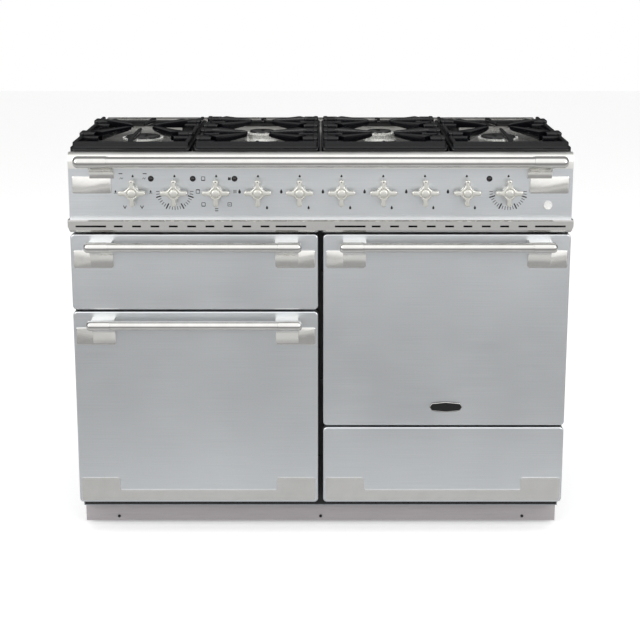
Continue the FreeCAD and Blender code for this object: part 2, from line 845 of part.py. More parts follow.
def grill_element():
    """Hairpin loops under the roof of the grill chamber, on a cross rod at the back."""
    z = grill_cavity_middle + grill_cavity_height / 2 - grill_element_drop
    d0, d1 = frame_back + grill_element_front, frame_back + cavity_depth
    pieces = []
    pitch = 2 * grill_loop_width
    for i in range(grill_loops):
        x = -column_middle + (i - (grill_loops - 1) / 2) * pitch
        for side in (-1, 1):
            pieces.append(rod_d(x + side * grill_loop_width / 2, d0, d1, z, element_rod))
        pieces.append(rod_x(x - grill_loop_width / 2, x + grill_loop_width / 2, d0, z, element_rod))
        pieces += [Part.makeSphere(element_rod, Vector(x + side * grill_loop_width / 2, face_y + d0, z))
                   for side in (-1, 1)]
    reach = (grill_loops - 0.5) * grill_loop_width
    pieces.append(rod_x(-column_middle - reach, -column_middle + reach, d1 - grill_bus_setback, z,
                        element_rod))
    return joined(*pieces)


def grill_pan():
    """Tray, trivet and the two runners that carry the tray."""
    x = -column_middle
    half, s = pan_width / 2, pan_sheet
    floor = grill_cavity_middle - grill_cavity_height / 2
    low = floor + pan_floor_gap
    d0 = frame_back + pan_setback
    d1 = d0 + pan_depth
    tray = block(x - half, x + half, d0, d1, low, low + pan_height)
    tray = tray.cut(block(x - half + s, x + half - s, d0 + s, d1 - s, low + s, low + pan_height + through))
    runners = []
    for side in (-1, 1):
        inner = x + side * (half - pan_runner)
        near, far = sorted((inner, x + side * cavity_width / 2))
        runners.append(block(near, far, d0, d1, low - pan_runner, low))
    height = low + s + trivet_drop + trivet_rod
    inset = s + trivet_rod + trivet_gap
    x0, x1 = x - half + inset, x + half - inset
    step = (x1 - x0) / (trivet_bars - 1)
    bars = [rod_d(x0 + i * step, d0 + inset, d1 - inset, height, trivet_rod) for i in range(trivet_bars)]
    rests = (d0 + pan_depth / 4, d1 - pan_depth / 4)
    cross = [rod_x(x0, x1, depth, height, trivet_rod * trivet_cross_share) for depth in rests]
    feet = [rod_z(fx, fd, low + s, height, trivet_rod * trivet_foot_share)
            for fx in (x0, x1) for fd in rests]
    return [tray, joined(*(bars + cross + feet))] + runners


def make_ovens():
    left = (-column_middle, left_cavity_middle)
    right = (column_middle, right_cavity_middle)
    save("left_oven_liner", liner_with_fan(*left))
    save("right_oven_liner", liner_with_fan(*right))
    save("grill_chamber_liner", liner(-column_middle, grill_cavity_middle, grill_cavity_height))
    save("oven_insulation", insulation(*left), insulation(*right))
    save("door_seals", seal(*left, cavity_height), seal(*right, cavity_height),
         seal(-column_middle, grill_cavity_middle, grill_cavity_height))
    guides = [shelf_guide(*oven, side) for oven in (left, right) for side in (-1, 1)]
    shelves = [shelf(*oven, level) for oven in (left, right) for level in shelf_levels]
    save("oven_shelves_and_guides", *(guides + shelves))
    save("left_oven_fan", fan(*left))
    save("right_oven_fan", fan(*right))
    save("fan_motors", fan_motor(*left), fan_motor(*right))
    save("fan_guards", fan_guard(*left), fan_guard(*right))
    save("heating_elements", ring_element(*left), ring_element(*right), grill_element())
    save("grill_pan", *grill_pan())


def liner_with_fan(x, z):
    """Oven liner pierced for the fan's shaft and the ring heater's tails."""
    shell = liner(x, z, cavity_height)
    back = frame_back + cavity_depth
    shell = shell.cut(rod_d(x, back - through, back + through, z, fan_shaft_radius + fan_shaft_gap))
    for side in (-1, 1):
        shell = shell.cut(rod_d(x + side * ring_tail_offset, back - through, back + through,
                                z + ring_element_radius, element_rod + running_clearance))
    return shell


# ---- control panel, vent trim and rail ------------------------------------------------------------

def knob_places():
    """X of the ten knobs, evenly spaced about the middle."""
    return [(i - (knob_count - 1) / 2) * knob_pitch for i in range(knob_count)]


def make_control_panel():
    s = panel_sheet
    panel = block(-body_half, body_half, panel_setback, frame_setback, panel_bottom, panel_top)
    panel = panel.cut(block(-body_half + s, body_half - s, panel_back, frame_setback + through,
                            panel_bottom + s, panel_top - s))
    holes = [(x, knob_line, spindle_hole_radius) for x in knob_places()]
    holes += [(x, knob_line + light_rise, light_radius + screw_clearance) for x in light_places]
    holes.append((button_place, knob_line - button_drop, button_radius + screw_clearance))
    for x, z, radius in holes:
        panel = panel.cut(rod_d(x, panel_setback - through, panel_back + through, z, radius))
    save("control_panel", panel)


def make_fascia():
    s, front = fascia_sheet, fascia_setback
    face = [(front, panel_top), (front + s, panel_top), (front + s, hob_top - s),
            (fascia_top_depth, hob_top - s), (fascia_top_depth, hob_top), (front, hob_top)]
    fascia = prism_x(-body_half, body_half, face)
    ends = [block(x, x + s, front + s, fascia_top_depth, panel_top, hob_top - s)
            for x in (-body_half, body_half - s)]
    save("hob_fascia", joined(fascia, *ends))


def vent_slots():
    """Start and end of each slot in the vent trim, right of the middle."""
    slots = [(vent_long_start, vent_long_start + vent_long_slot)]
    for i in range(vent_short_count):
        start = vent_short_start + i * vent_short_pitch - vent_short_slot / 2
        slots.append((start, start + vent_short_slot))
    slots.append((vent_outer_slot_end - vent_long_slot, vent_outer_slot_end))
    return slots


def make_vent_trim():
    half, s = vent_width / 2, vent_sheet
    low = panel_bottom - vent_height
    front, c = -vent_reach, vent_chamfer
    outline = [(frame_setback, panel_bottom), (front + c / 2, panel_bottom),
               (front, panel_bottom - c / 2), (front, low + c), (front + c, low),
               (frame_setback, low), (frame_setback, low + s), (front + c, low + s),
               (front + s, low + c), (front + s, panel_bottom - s), (frame_setback, panel_bottom - s)]
    trim = prism_x(-half, half, outline)
    for side in (-1, 1):
        wedge = prism_d(front - through, frame_setback + through,
                        [(side * half, panel_bottom - vent_height / 2), (side * half, low),
                         (side * (half - c), low)])
        trim = trim.cut(wedge)
    slot_z = panel_bottom - vent_slot_drop
    for start, end in vent_slots():
        for x0, x1 in ((start, end), (-end, -start)):
            trim = trim.cut(block(x0, x1, front - through, front + s + 1,
                                  slot_z - vent_slot_height / 2, slot_z + vent_slot_height / 2))
    save("vent_trim", trim)


def make_handrail():
    depth = panel_setback - rail_standoff
    joint = rail_half_length - rail_sleeve_length
    pieces = [rod_x(-joint, joint, depth, rail_height, rail_radius)]
    sleeve = rod_x(joint, rail_half_length, depth, rail_height, rail_sleeve_radius)
    tip = [e for e in sleeve.Edges if len(e.Vertexes) == 1
           and abs(e.Vertexes[0].X - rail_half_length) < 1e-6]
    sleeve = sleeve.makeFillet(rail_tip, tip)
    plate_top = panel_top - rail_plate_drop
    plate_low = plate_top - rail_plate_height
    front = panel_setback - rail_plate_thick
    plate = block(rail_plate_end - rail_plate_width, rail_plate_end, front, panel_setback,
                  plate_low, plate_top)
    plate = round_depth_edges(plate, trim_corner)
    back_point = depth + math.sqrt(rail_sleeve_radius ** 2 - (rail_sleeve_radius / 2) ** 2)
    outline = [(panel_setback, plate_low + rail_plate_height / 2),
               (front, plate_low + rail_plate_height / 2), (front - rail_arm_toe, plate_top),
               (depth + rail_arm_dip, rail_height - rail_sleeve_radius), (depth, rail_height),
               (back_point, rail_height + rail_sleeve_radius / 2),
               (front - rail_arm_heel, panel_top - rail_arm_top_gap),
               (panel_setback, panel_top - rail_arm_top_gap)]
    arm = prism_x(rail_arm_end - rail_arm_width, rail_arm_end, outline)
    bar = rod_x(rail_arm_end - rail_arm_width - through, rail_half_length, depth, rail_height,
                rail_sleeve_radius)
    bracket = joined(plate, arm).cut(bar)
    for piece in (sleeve, bracket):
        pieces += [piece, mirrored(piece)]
    save("handrail", *pieces)


# ---- knobs and what they turn -----------------------------------------------------------------------

def knob(x):
    """Cross knob and its spindle."""
    z = knob_line
    back = panel_setback - knob_panel_gap
    front = panel_setback - knob_height
    skirt = rod_d(x, back - knob_skirt_height, back, z, knob_skirt_radius)
    hub = Part.makeCone(knob_skirt_radius - knob_draft, knob_hub_radius - knob_draft,
                        knob_height - knob_panel_gap, Vector(x, face_y + back, z), Vector(0, -1, 0))
    crown = rod_d(x, front, front + knob_arm_thick, z, knob_hub_radius)
    boss = rod_d(x, front - knob_boss_height, front, z, knob_boss_radius)
    half, arm_half = knob_span / 2, knob_arm_width / 2
    arms = []
    for turn in range(4):
        arm = block(x, x + half - arm_half, front, front + knob_arm_thick, z - arm_half, z + arm_half)
        arm = joined(arm, rod_d(x + half - arm_half, front, front + knob_arm_thick, z, arm_half))
        arm.rotate(Vector(x, 0, z), Vector(0, 1, 0), turn * 90)
        arms.append(arm)
    grip = joined(skirt, hub, crown, boss, *arms)
    bore = rod_d(x, back - spindle_grip, back + through, z, knob_spindle_radius)
    spindle = rod_d(x, back - spindle_grip, panel_back + control_body_depth / 2, z, knob_spindle_radius)
    return [grip.cut(bore), spindle]


def make_knobs():
    for i, x in enumerate(knob_places()):
        save("knob_%d" % (i + 1), *knob(x))


def make_controls():
    """Ten taps and switches on the back of the panel, bored for their spindles, and the button's switch."""
    half = control_body_size / 2
    bodies = []
    for x in knob_places():
        body = block(x - half, x + half, panel_back, panel_back + control_body_depth,
                     knob_line - half, knob_line + half)
        bore = rod_d(x, panel_back - through, panel_back + control_body_depth - through, knob_line,
                     knob_spindle_radius + running_clearance)
        bodies.append(body.cut(bore))
    save("taps_and_switches", *(bodies + [button_switch()]))


def make_gas_rail():
    """Manifold under the taps, then back to the inlet socket in the rear cover."""
    z = gas_line()
    depth = panel_back + control_body_depth / 2
    start = knob_places()[0] - control_body_size / 2
    r = gas_pipe_radius
    corner = Part.makeSphere(r, Vector(gas_pipe_end, face_y + depth, z))
    rail = joined(rod_x(start, gas_pipe_end, depth, z, r), corner,
                  rod_d(gas_pipe_end, depth, body_depth - gas_inlet_length, z, r))
    inlet = rod_d(gas_pipe_end, body_depth - gas_inlet_length, body_depth, z, gas_inlet_radius)
    inlet = inlet.cut(rod_d(gas_pipe_end, body_depth - gas_inlet_depth, body_depth + through, z,
                            gas_inlet_bore))
    save("gas_rail", rail, inlet)


def make_lights():
    lights = []
    for x in light_places:
        z = knob_line + light_rise
        lens = rod_d(x, panel_setback - light_proud, panel_setback, z, light_radius + light_rim)
        lights.append(joined(lens, rod_d(x, panel_setback, panel_setback + light_depth, z, light_radius)))
    save("indicator_lights", *lights)


def make_push_button():
    """Round button with a stem that slides in its switch body."""
    z = knob_line - button_drop
    front = panel_setback - button_proud
    cap = rod_d(button_place, front, button_cap_back, z, button_radius - screw_clearance)
    rim = [e for e in cap.Edges if len(e.Vertexes) == 1 and abs(e.Vertexes[0].Y - face_y - front) < 1e-6]
    cap = cap.makeFillet(button_edge, rim)
    stem = rod_d(button_place, button_cap_back, button_stem_end, z, button_stem_radius)
    save("push_button", joined(cap, stem))


def button_switch():
    """Switch body behind the panel, bored for the button and its stem."""
    z = knob_line - button_drop
    half = button_body / 2
    seat = button_cap_back + button_travel + running_clearance
    body = block(button_place - half, button_place + half, panel_back, seat + button_body_depth,
                 z - half, z + half)
    body = body.cut(rod_d(button_place, panel_back - through, seat, z, button_radius + screw_clearance))
    return body.cut(rod_d(button_place, seat - through, button_stem_end + button_travel + button_end_gap, z,
                          button_stem_radius + running_clearance))


# ---- hob --------------------------------------------------------------------------------------------

def burners():
    """Place, depth and head radius of each burner."""
    middle = grate_middles()
    return ((middle[0], outer_burner_depth, large_burner_radius),
            (middle[1], inner_rear_depth, medium_burner_radius),
            (middle[1], inner_front_depth, small_burner_radius),
            (middle[2], inner_rear_depth, medium_burner_radius),
            (middle[2], inner_front_depth, small_burner_radius),
            (middle[3], outer_burner_depth, large_burner_radius))


def grate_middles():
    """X of the middle of each pan support."""
    inner = grate_gap / 2 + grate_inner_width / 2
    outer = grate_gap * 1.5 + grate_inner_width + grate_outer_width / 2
    return (-outer, -inner, inner, outer)


def make_hob_tray():
    s = deck_sheet
    half, back = body_half, body_depth - back_strip_depth
    floor = deck_top - pan_recess
    deck = block(-half, half, fascia_top_depth, body_depth, deck_top - s, deck_top)
    x0, x1 = -half + pan_margin * 2, half - pan_margin * 2
    d0, d1 = grate_front + pan_margin * 2, back - pan_margin
    well = block(x0, x1, d0, d1, floor - s, deck_top)
    well = well.cut(block(x0 + s, x1 - s, d0 + s, d1 - s, floor, deck_top + through))
    deck = deck.cut(block(x0 + s, x1 - s, d0 + s, d1 - s, deck_top - s - through, deck_top + through))
    strip = block(-half, half, back, body_depth, deck_top, hob_top)
    tray = joined(deck, well, strip)
    for x, depth, radius in burners():
        tray = tray.cut(rod_z(x, depth, floor - through, floor + through,
                              radius * burner_cup_share))
    save("hob_tray", tray)


def make_burners():
    floor = deck_top - pan_recess
    bodies, caps = [], []
    for x, depth, radius in burners():
        cup = rod_z(x, depth, floor - burner_cup_depth, floor,
                    radius * burner_cup_share - burner_cup_gap)
        flange = rod_z(x, depth, floor, floor + burner_flange_height,
                       radius + burner_flange_reach)
        base_top = floor + burner_flange_height
        head_top = base_top + burner_head_height
        head_low = Part.makeCone(radius, radius - 4, burner_head_height / 2,
                                 Vector(x, face_y + depth, base_top))
        head_high = rod_z(x, depth, base_top + burner_head_height / 2, head_top, radius - 4)
        igniter_x = x + radius + burner_flange_reach + igniter_radius
        igniter = rod_z(igniter_x, depth, floor, floor + igniter_height, igniter_radius)
        bodies += [joined(cup, flange), joined(head_low, head_high), igniter]
        cap = rod_z(x, depth, head_top, head_top + burner_cap_height,
                    radius - burner_cap_inset)
        rim = [e for e in cap.Edges if len(e.Vertexes) == 1
               and abs(e.Vertexes[0].Z - head_top - burner_cap_height) < 1e-6]
        caps.append(cap.makeFillet(2.0, rim))
    save("burner_bodies", *bodies)
    save("burner_caps", *caps)


def finger(root, tip, top):
    """Wedge-shaped bar that runs from a rail towards a burner, deep at its root."""
    run = math.hypot(tip[0] - root[0], tip[1] - root[1])
    half = finger_width / 2
    points = [(0, top - finger_root_height), (run, top - finger_tip_height), (run, top), (0, top)]
    at = [Vector(along, -half, z) for along, z in points]
    bar = Part.Face(Part.makePolygon(at + at[:1])).extrude(Vector(0, finger_width, 0))
    angle = math.degrees(math.atan2(tip[1] - root[1], tip[0] - root[0]))
    bar.rotate(Vector(0, 0, 0), Vector(0, 0, 1), angle)
    bar.translate(Vector(root[0], face_y + root[1], 0))
    return bar


def root_pad(edge, side, depth, ledge, rib_top, top):
    """Two flat steps that the root of a finger grows out of."""
    steps = ((pad_reach, pad_half, ledge - pad_foot, rib_top - pad_drop),
             (pad_reach - pad_step_reach, pad_half - pad_step_half, rib_top - pad_drop, top - pad_drop))
    pads = []
    for reach, half, low, high in steps:
        near, far = sorted((edge, edge - side * reach))
        pads.append(block(near, far, depth - half, depth + half, low, high))
    return pads


def pan_support(middle, width, burner_depths, spread):
    """Stepped rectangular frame with humps and pads on its rails and fingers towards each burner."""
    x0, x1 = middle - width / 2, middle + width / 2
    d0, d1 = grate_front, grate_front + grate_depth
    low = deck_top + grate_base_gap
    ledge = low + grate_rail_height
    rib_top = ledge + grate_rib_height
    top = low + grate_height - grate_base_gap
    rails = upright_ring(x0, x1, d0, d1, low, ledge, grate_rail_width, grate_corner)
    i = grate_rib_inset
    ribs = upright_ring(x0 + i, x1 - i, d0 + i, d1 - i, ledge, rib_top, grate_rib_width, grate_corner - i)
    pieces = [ribs.cut(block(x0, x1, d1 - grate_low_back, d1, ledge, rib_top))]
    line = i + grate_rib_width / 2
    for depth in burner_depths:
        for side in (-1, 1):
            edge = middle + side * (width / 2 - line)
            for way in (-1, 1):
                root = (edge, depth + way * spread)
                tip = (middle + side * finger_tip_across, depth + way * finger_tip_along)
                pieces.append(finger(root, tip, top))
                pieces += root_pad(middle + side * (width / 2 - i), side, root[1], ledge, rib_top, top)
                pieces.append(block(edge - grate_rib_width / 2, edge + grate_rib_width / 2,
                                    root[1] - hump_length / 2, root[1] + hump_length / 2, ledge, top))
    for depth, rail_depth, way in ((max(burner_depths), d1 - line, 1), (min(burner_depths), d0 + line, -1)):
        pieces.append(finger((middle, rail_depth), (middle, depth + way * finger_end_reach), top))
        pieces.append(block(middle - hump_length / 2, middle + hump_length / 2,
                            rail_depth - grate_rib_width / 2, rail_depth + grate_rib_width / 2, ledge, top))
    return joined(rails, *pieces)


def upright_ring(x0, x1, d0, d1, z0, z1, width, corner):
    """Rectangular ring seen from above, with rounded outer corners."""
    ring = block(x0, x1, d0, d1, z0, z1)
    upright = [e for e in ring.Edges if abs(e.tangentAt(e.FirstParameter).z) > 0.999]
    ring = ring.makeFillet(corner, upright)
    return ring.cut(block(x0 + width, x1 - width, d0 + width, d1 - width, z0 - through, z1 + through))


def make_pan_supports():
    middles = grate_middles()
    outer, inner = (outer_burner_depth,), (inner_front_depth, inner_rear_depth)
    save("pan_support_1", pan_support(middles[0], grate_outer_width, outer, finger_spread_outer))
    save("pan_support_2", pan_support(middles[1], grate_inner_width, inner, finger_spread_inner))
    save("pan_support_3", pan_support(middles[2], grate_inner_width, inner, finger_spread_inner))
    save("pan_support_4", pan_support(middles[3], grate_outer_width, outer, finger_spread_outer))


os.makedirs("parts", exist_ok=True)
make_base()
make_plinth()
make_casing()
make_front_frame()
make_ovens()
make_grill_door()
make_left_oven_door()
make_right_oven_door()
make_hinges_and_catches()
make_drawer()
make_control_panel()
make_fascia()
make_vent_trim()
make_handrail()
make_knobs()
make_controls()
make_gas_rail()
make_lights()
make_push_button()
make_hob_tray()
make_burners()
make_pan_supports()
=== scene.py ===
"""Looks of a wide range cooker with two ovens, a grill, a storage drawer and a six-burner hob.

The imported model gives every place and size. This script dresses its pieces in procedural
finishes and replaces the ones whose real form is finer than the plain solids: the handles,
the rail, the knobs, the burners and the cast pan supports.
"""
import logging
import math
import sys
from dataclasses import dataclass, field
from enum import Enum
from typing import Any, Callable, Optional, Sequence

import bmesh
import bpy
import numpy as np
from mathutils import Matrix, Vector
from numpy.typing import NDArray

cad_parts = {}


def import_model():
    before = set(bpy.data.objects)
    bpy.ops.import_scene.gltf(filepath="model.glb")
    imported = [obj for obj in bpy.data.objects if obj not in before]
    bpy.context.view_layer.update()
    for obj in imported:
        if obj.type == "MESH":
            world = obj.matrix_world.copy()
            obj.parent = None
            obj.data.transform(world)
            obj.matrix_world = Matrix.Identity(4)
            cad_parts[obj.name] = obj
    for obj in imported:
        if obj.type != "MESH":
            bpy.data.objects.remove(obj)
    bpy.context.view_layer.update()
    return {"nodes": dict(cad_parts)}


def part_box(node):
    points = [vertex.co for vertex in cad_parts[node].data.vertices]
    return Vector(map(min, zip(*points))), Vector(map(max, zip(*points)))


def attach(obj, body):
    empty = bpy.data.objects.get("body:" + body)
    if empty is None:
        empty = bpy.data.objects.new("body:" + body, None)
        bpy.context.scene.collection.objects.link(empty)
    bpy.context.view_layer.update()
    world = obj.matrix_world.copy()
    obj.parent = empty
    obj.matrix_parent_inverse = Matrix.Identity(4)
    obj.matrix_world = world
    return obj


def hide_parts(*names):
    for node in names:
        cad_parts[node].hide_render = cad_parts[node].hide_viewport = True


log = logging.getLogger("range_cooker")
Array = NDArray[np.float64]
Pair = tuple[float, float]
Place = tuple[float, float, float]
MM = 0.001
# Place of the closed door faces along Y, in millimetres.
FACE_Y = -274.75
# Share of the fine pattern in a finish; the broad mottle has the rest.
FINE_SHARE = 0.65
COAT_ROUGHNESS = 0.08


class Axis(Enum):
    """Direction that a turned piece or a brushed grain runs along."""

    X = 0
    Y = 1
    Z = 2


# ---- colours and nodes ----

def linear(hex_colour: str) -> tuple[float, float, float, float]:
    """Turn an sRGB hex value into linear light.

    Args:
        hex_colour: Six hex digits with a leading hash.

    Returns:
        Red, green, blue and an alpha of one.
    """
    parts = [int(hex_colour[i:i + 2], 16) / 255 for i in (1, 3, 5)]
    r, g, b = (c / 12.92 if c <= 0.04045 else ((c + 0.055) / 1.055) ** 2.4 for c in parts)
    return (r, g, b, 1.0)


def add_node(tree: bpy.types.NodeTree, kind: str, settings: Optional[dict[str, Any]] = None,
             **inputs: Any) -> bpy.types.Node:
    """Add one node, set its properties and fill or link its inputs.

    Args:
        tree: Node tree of a material or the world.
        kind: Node type without the ShaderNode prefix.
        settings: Node properties by name.
        **inputs: Socket names with underscores for spaces, or i0, i1 for sockets by number; a
            value is set and an output socket is linked.

    Returns:
        The new node.
    """
    node = tree.nodes.new("ShaderNode" + kind)
    for name, value in (settings or {}).items():
        setattr(node, name, value)
    for name, value in inputs.items():
        by_number = name[0] == "i" and name[1:].isdigit()
        socket = node.inputs[int(name[1:]) if by_number else name.replace("_", " ")]
        if isinstance(value, bpy.types.NodeSocket):
            tree.links.new(value, socket)
        else:
            socket.default_value = value
    return node


def ramp(tree: bpy.types.NodeTree, factor: bpy.types.NodeSocket,
         stops: Sequence[tuple[float, str]]) -> bpy.types.NodeSocket:
    """Colour ramp through sRGB hex stops.

    Args:
        tree: Node tree.
        factor: Socket that drives the ramp.
        stops: Place from 0 to 1 and hex colour of each stop.

    Returns:
        The ramp's colour output.
    """
    node = add_node(tree, "ValToRGB", Fac=factor)
    elements = node.color_ramp.elements
    while len(elements) < len(stops):
        elements.new(0.5)
    for element, (place, colour) in zip(elements, stops):
        element.position, element.color = place, linear(colour)
    return node.outputs["Color"]


# ---- finishes ----

@dataclass(frozen=True)
class Finish:
    """What a surface is made of: a base colour that varies over a pattern, and its gloss.

    The pattern is a noise whose cell is given in millimetres along each axis, so a long cell
    along X and a thin one along Z is a brushed grain.
    """

    name: str
    colour: str
    colour_low: str
    metallic: float
    roughness: float
    roughness_spread: float
    cell_mm: Place
    bump_mm: float
    detail: float = 3.0
    mottle_mm: float = 180.0
    coat: float = 0.0
    sheen: float = 0.0

    def build(self) -> bpy.types.Material:
        """Make the material once and hand the same one out afterwards."""
        made = bpy.data.materials.get(self.name)
        if made is not None:
            return made
        material = bpy.data.materials.new(self.name)
        material.use_nodes = True
        tree = material.node_tree
        shader = tree.nodes["Principled BSDF"]
        place = add_node(tree, "TexCoord").outputs["Object"]
        scale = tuple(1.0 / (c * MM) for c in self.cell_mm)
        fine_place = add_node(tree, "Mapping", Vector=place, Scale=scale).outputs["Vector"]
        fine = add_node(tree, "TexNoise", Vector=fine_place, Scale=1.0, Detail=self.detail)
        broad = add_node(tree, "TexNoise", Vector=place, Scale=1.0 / (self.mottle_mm * MM),
                         Detail=2.0)
        rest = add_node(tree, "Math", {"operation": "MULTIPLY"}, i0=broad.outputs["Fac"],
                        i1=1.0 - FINE_SHARE)
        both = add_node(tree, "Math", {"operation": "MULTIPLY_ADD"}, i0=fine.outputs["Fac"],
                        i1=FINE_SHARE, i2=rest.outputs["Value"])
        colour = ramp(tree, both.outputs["Value"], ((0.3, self.colour_low), (0.7, self.colour)))
        tree.links.new(colour, shader.inputs["Base Color"])
        rough = add_node(tree, "MapRange", i0=both.outputs["Value"], i1=0.3, i2=0.7,
                         i3=max(0.02, self.roughness - self.roughness_spread),
                         i4=min(1.0, self.roughness + self.roughness_spread))
        tree.links.new(rough.outputs["Result"], shader.inputs["Roughness"])
        shader.inputs["Metallic"].default_value = self.metallic
        if self.coat:
            shader.inputs["Coat Weight"].default_value = self.coat
            shader.inputs["Coat Roughness"].default_value = COAT_ROUGHNESS
        if self.sheen:
            shader.inputs["Sheen Weight"].default_value = self.sheen
        if self.bump_mm:
            bump = add_node(tree, "Bump", Strength=1.0, Distance=self.bump_mm * MM,
                            Height=fine.outputs["Fac"])
            tree.links.new(bump.outputs["Normal"], shader.inputs["Normal"])
        material.diffuse_color = linear(self.colour)
        return material


# Austenitic stainless sheet, brushed along its width: soft streaks that blur what it mirrors.
# The real grain is about 0.2 mm apart; it is drawn at 1.1 mm so that it shows.
BRUSHED_STEEL = Finish("brushed_stainless_steel", "#e0e3e5", "#d5d8db", 1.0, 0.36, 0.05,
                       (140.0, 140.0, 1.1), 0.02, detail=4.0)
# Stainless bar and trim, buffed to a mirror: crisp dark and light bands, faint wipe marks.
POLISHED_STEEL = Finish("polished_stainless_steel", "#dddcda", "#d3d2cf", 1.0, 0.09, 0.03,
                        (30.0, 30.0, 30.0), 0.0)
# Zinc die casting with a satin nickel plating: warm grey with a soft glow.
SATIN_PLATING = Finish("satin_plated_casting", "#dfded8", "#d4d3cc", 0.85, 0.4, 0.04,
                       (1.5, 1.5, 1.5), 0.01)
# Stainless brackets with a soft polish: they blur what they mirror and stay bright.
SATIN_STEEL = Finish("satin_polished_brackets", "#f6f5f2", "#ecebe7", 1.0, 0.15, 0.04,
                     (14.0, 14.0, 5.0), 0.004)
# Spill tray under the grates: dulled by heat and cleaning, so it shows the castings only dimly.
TRAY_STEEL = Finish("heat_dulled_tray", "#c6c5c2", "#b4b3b0", 1.0, 0.30, 0.06,
                    (24.0, 24.0, 24.0), 0.0)
# Rolled front strip of the hob, finely ground so that it glows under the sky of the lamps.
GROUND_STEEL = Finish("fine_ground_hob_steel", "#f2f1ee", "#e6e5e1", 1.0, 0.42, 0.05,
                      (40.0, 40.0, 40.0), 0.0)
# Grates: iron casting under matt black vitreous enamel, faintly pebbled.
CAST_IRON = Finish("matt_enamelled_cast_iron", "#0c0c10", "#060609", 0.0, 0.2, 0.04,
                   (1.6, 1.6, 1.6), 0.05)
# Steel pressings under gloss black enamel.
BLACK_ENAMEL = Finish("gloss_black_enamel", "#0e0e10", "#08080a", 0.0, 0.18, 0.04,
                      (3.0, 3.0, 3.0), 0.01, coat=0.3)
# Flat black on the frame behind the doors and on the hinges in the gaps: painted shade that keeps
# the door gaps dark. The plinth screws also wear this black as their own colour.
FRAME_BLACK = Finish("matt_black_paint_and_gap_shade", "#0a0a0b", "#050506", 0.0, 0.6, 0.08,
                     (1.2, 1.2, 1.2), 0.01)
# Pre-coated steel sheet of the casing, powder grey with a fine texture.
CASE_PAINT = Finish("grey_powder_coat", "#7b7e83", "#6f7277", 0.0, 0.48, 0.06,
                    (0.9, 0.9, 0.9), 0.03)
# Warm grey coat on the plinth, a little metallic and drawn out along its width.
PLINTH_PAINT = Finish("warm_grey_plinth_coat", "#bfbabc", "#b6b1b3", 0.25, 0.45, 0.05,
                      (60.0, 60.0, 1.4), 0.01)
# Hot-dip zinc on sheet: bluish, with the broad spangle of its crystals.
ZINC_SHEET = Finish("galvanised_sheet", "#a9adb1", "#8f9499", 0.9, 0.42, 0.1,
                    (9.0, 9.0, 9.0), 0.0, detail=1.0)
# Pyrolytic oven enamel, dark blue-grey with pale specks.
OVEN_ENAMEL = Finish("speckled_oven_enamel", "#3a3d45", "#15161a", 0.0, 0.2, 0.05,
                     (1.3, 1.3, 1.3), 0.01, detail=6.0, coat=0.4)
# Glass wool blanket round the ovens, yellow and matted.
GLASS_WOOL = Finish("glass_wool_blanket", "#d8c88a", "#b5a262", 0.0, 0.95, 0.03,
                    (2.5, 2.5, 2.5), 0.9, detail=8.0, sheen=0.3)
# Door seals: black glass fibre sleeve, matt and woven.
WOVEN_SEAL = Finish("woven_seal_black", "#17171a", "#0d0d0f", 0.0, 0.75, 0.08,
                     (1.1, 1.1, 1.1), 0.15)
# Chromed mild steel wire of the shelves.
CHROMED_WIRE = Finish("chromed_wire", "#d2d3d6", "#c3c4c8", 1.0, 0.12, 0.04,
                      (20.0, 20.0, 20.0), 0.0)
# Machined burner alloy, bright where the flame keeps it clean.
BURNER_ALLOY = Finish("bright_burner_alloy", "#f6f6f3", "#e6e6e2", 0.6, 0.28, 0.06,
                      (2.0, 2.0, 2.0), 0.02)
# Heater tube, blued and browned by heat.
HOT_TUBE = Finish("heat_stained_tube", "#6d655e", "#3d3835", 0.8, 0.4, 0.1,
                  (12.0, 12.0, 12.0), 0.01)
# Gas taps and rail, machined from brass bar.
BRASS = Finish("machined_brass", "#c7a35a", "#b08b45", 1.0, 0.25, 0.08, (6.0, 6.0, 6.0), 0.0)
# Unlit indicator: dark red tinted polycarbonate with a moulded gloss.
DARK_LENS = Finish("dark_tinted_lens", "#23191b", "#150e10", 0.0, 0.08, 0.02, (5.0, 5.0, 5.0), 0.0,
                   coat=0.6)
# Push button: glossy white thermoplastic.
WHITE_MOULDING = Finish("white_moulding", "#f4f4f2", "#ebebe8", 0.0, 0.22, 0.04,
                        (1.5, 1.5, 1.5), 0.005)
# Dial marks, printed and fired on the panel; also the moulded bezels of the lamps.
PRINT_INK = Finish("fired_black_print", "#141416", "#0d0d0f", 0.0, 0.5, 0.05, (0.6, 0.6, 0.6), 0.0)

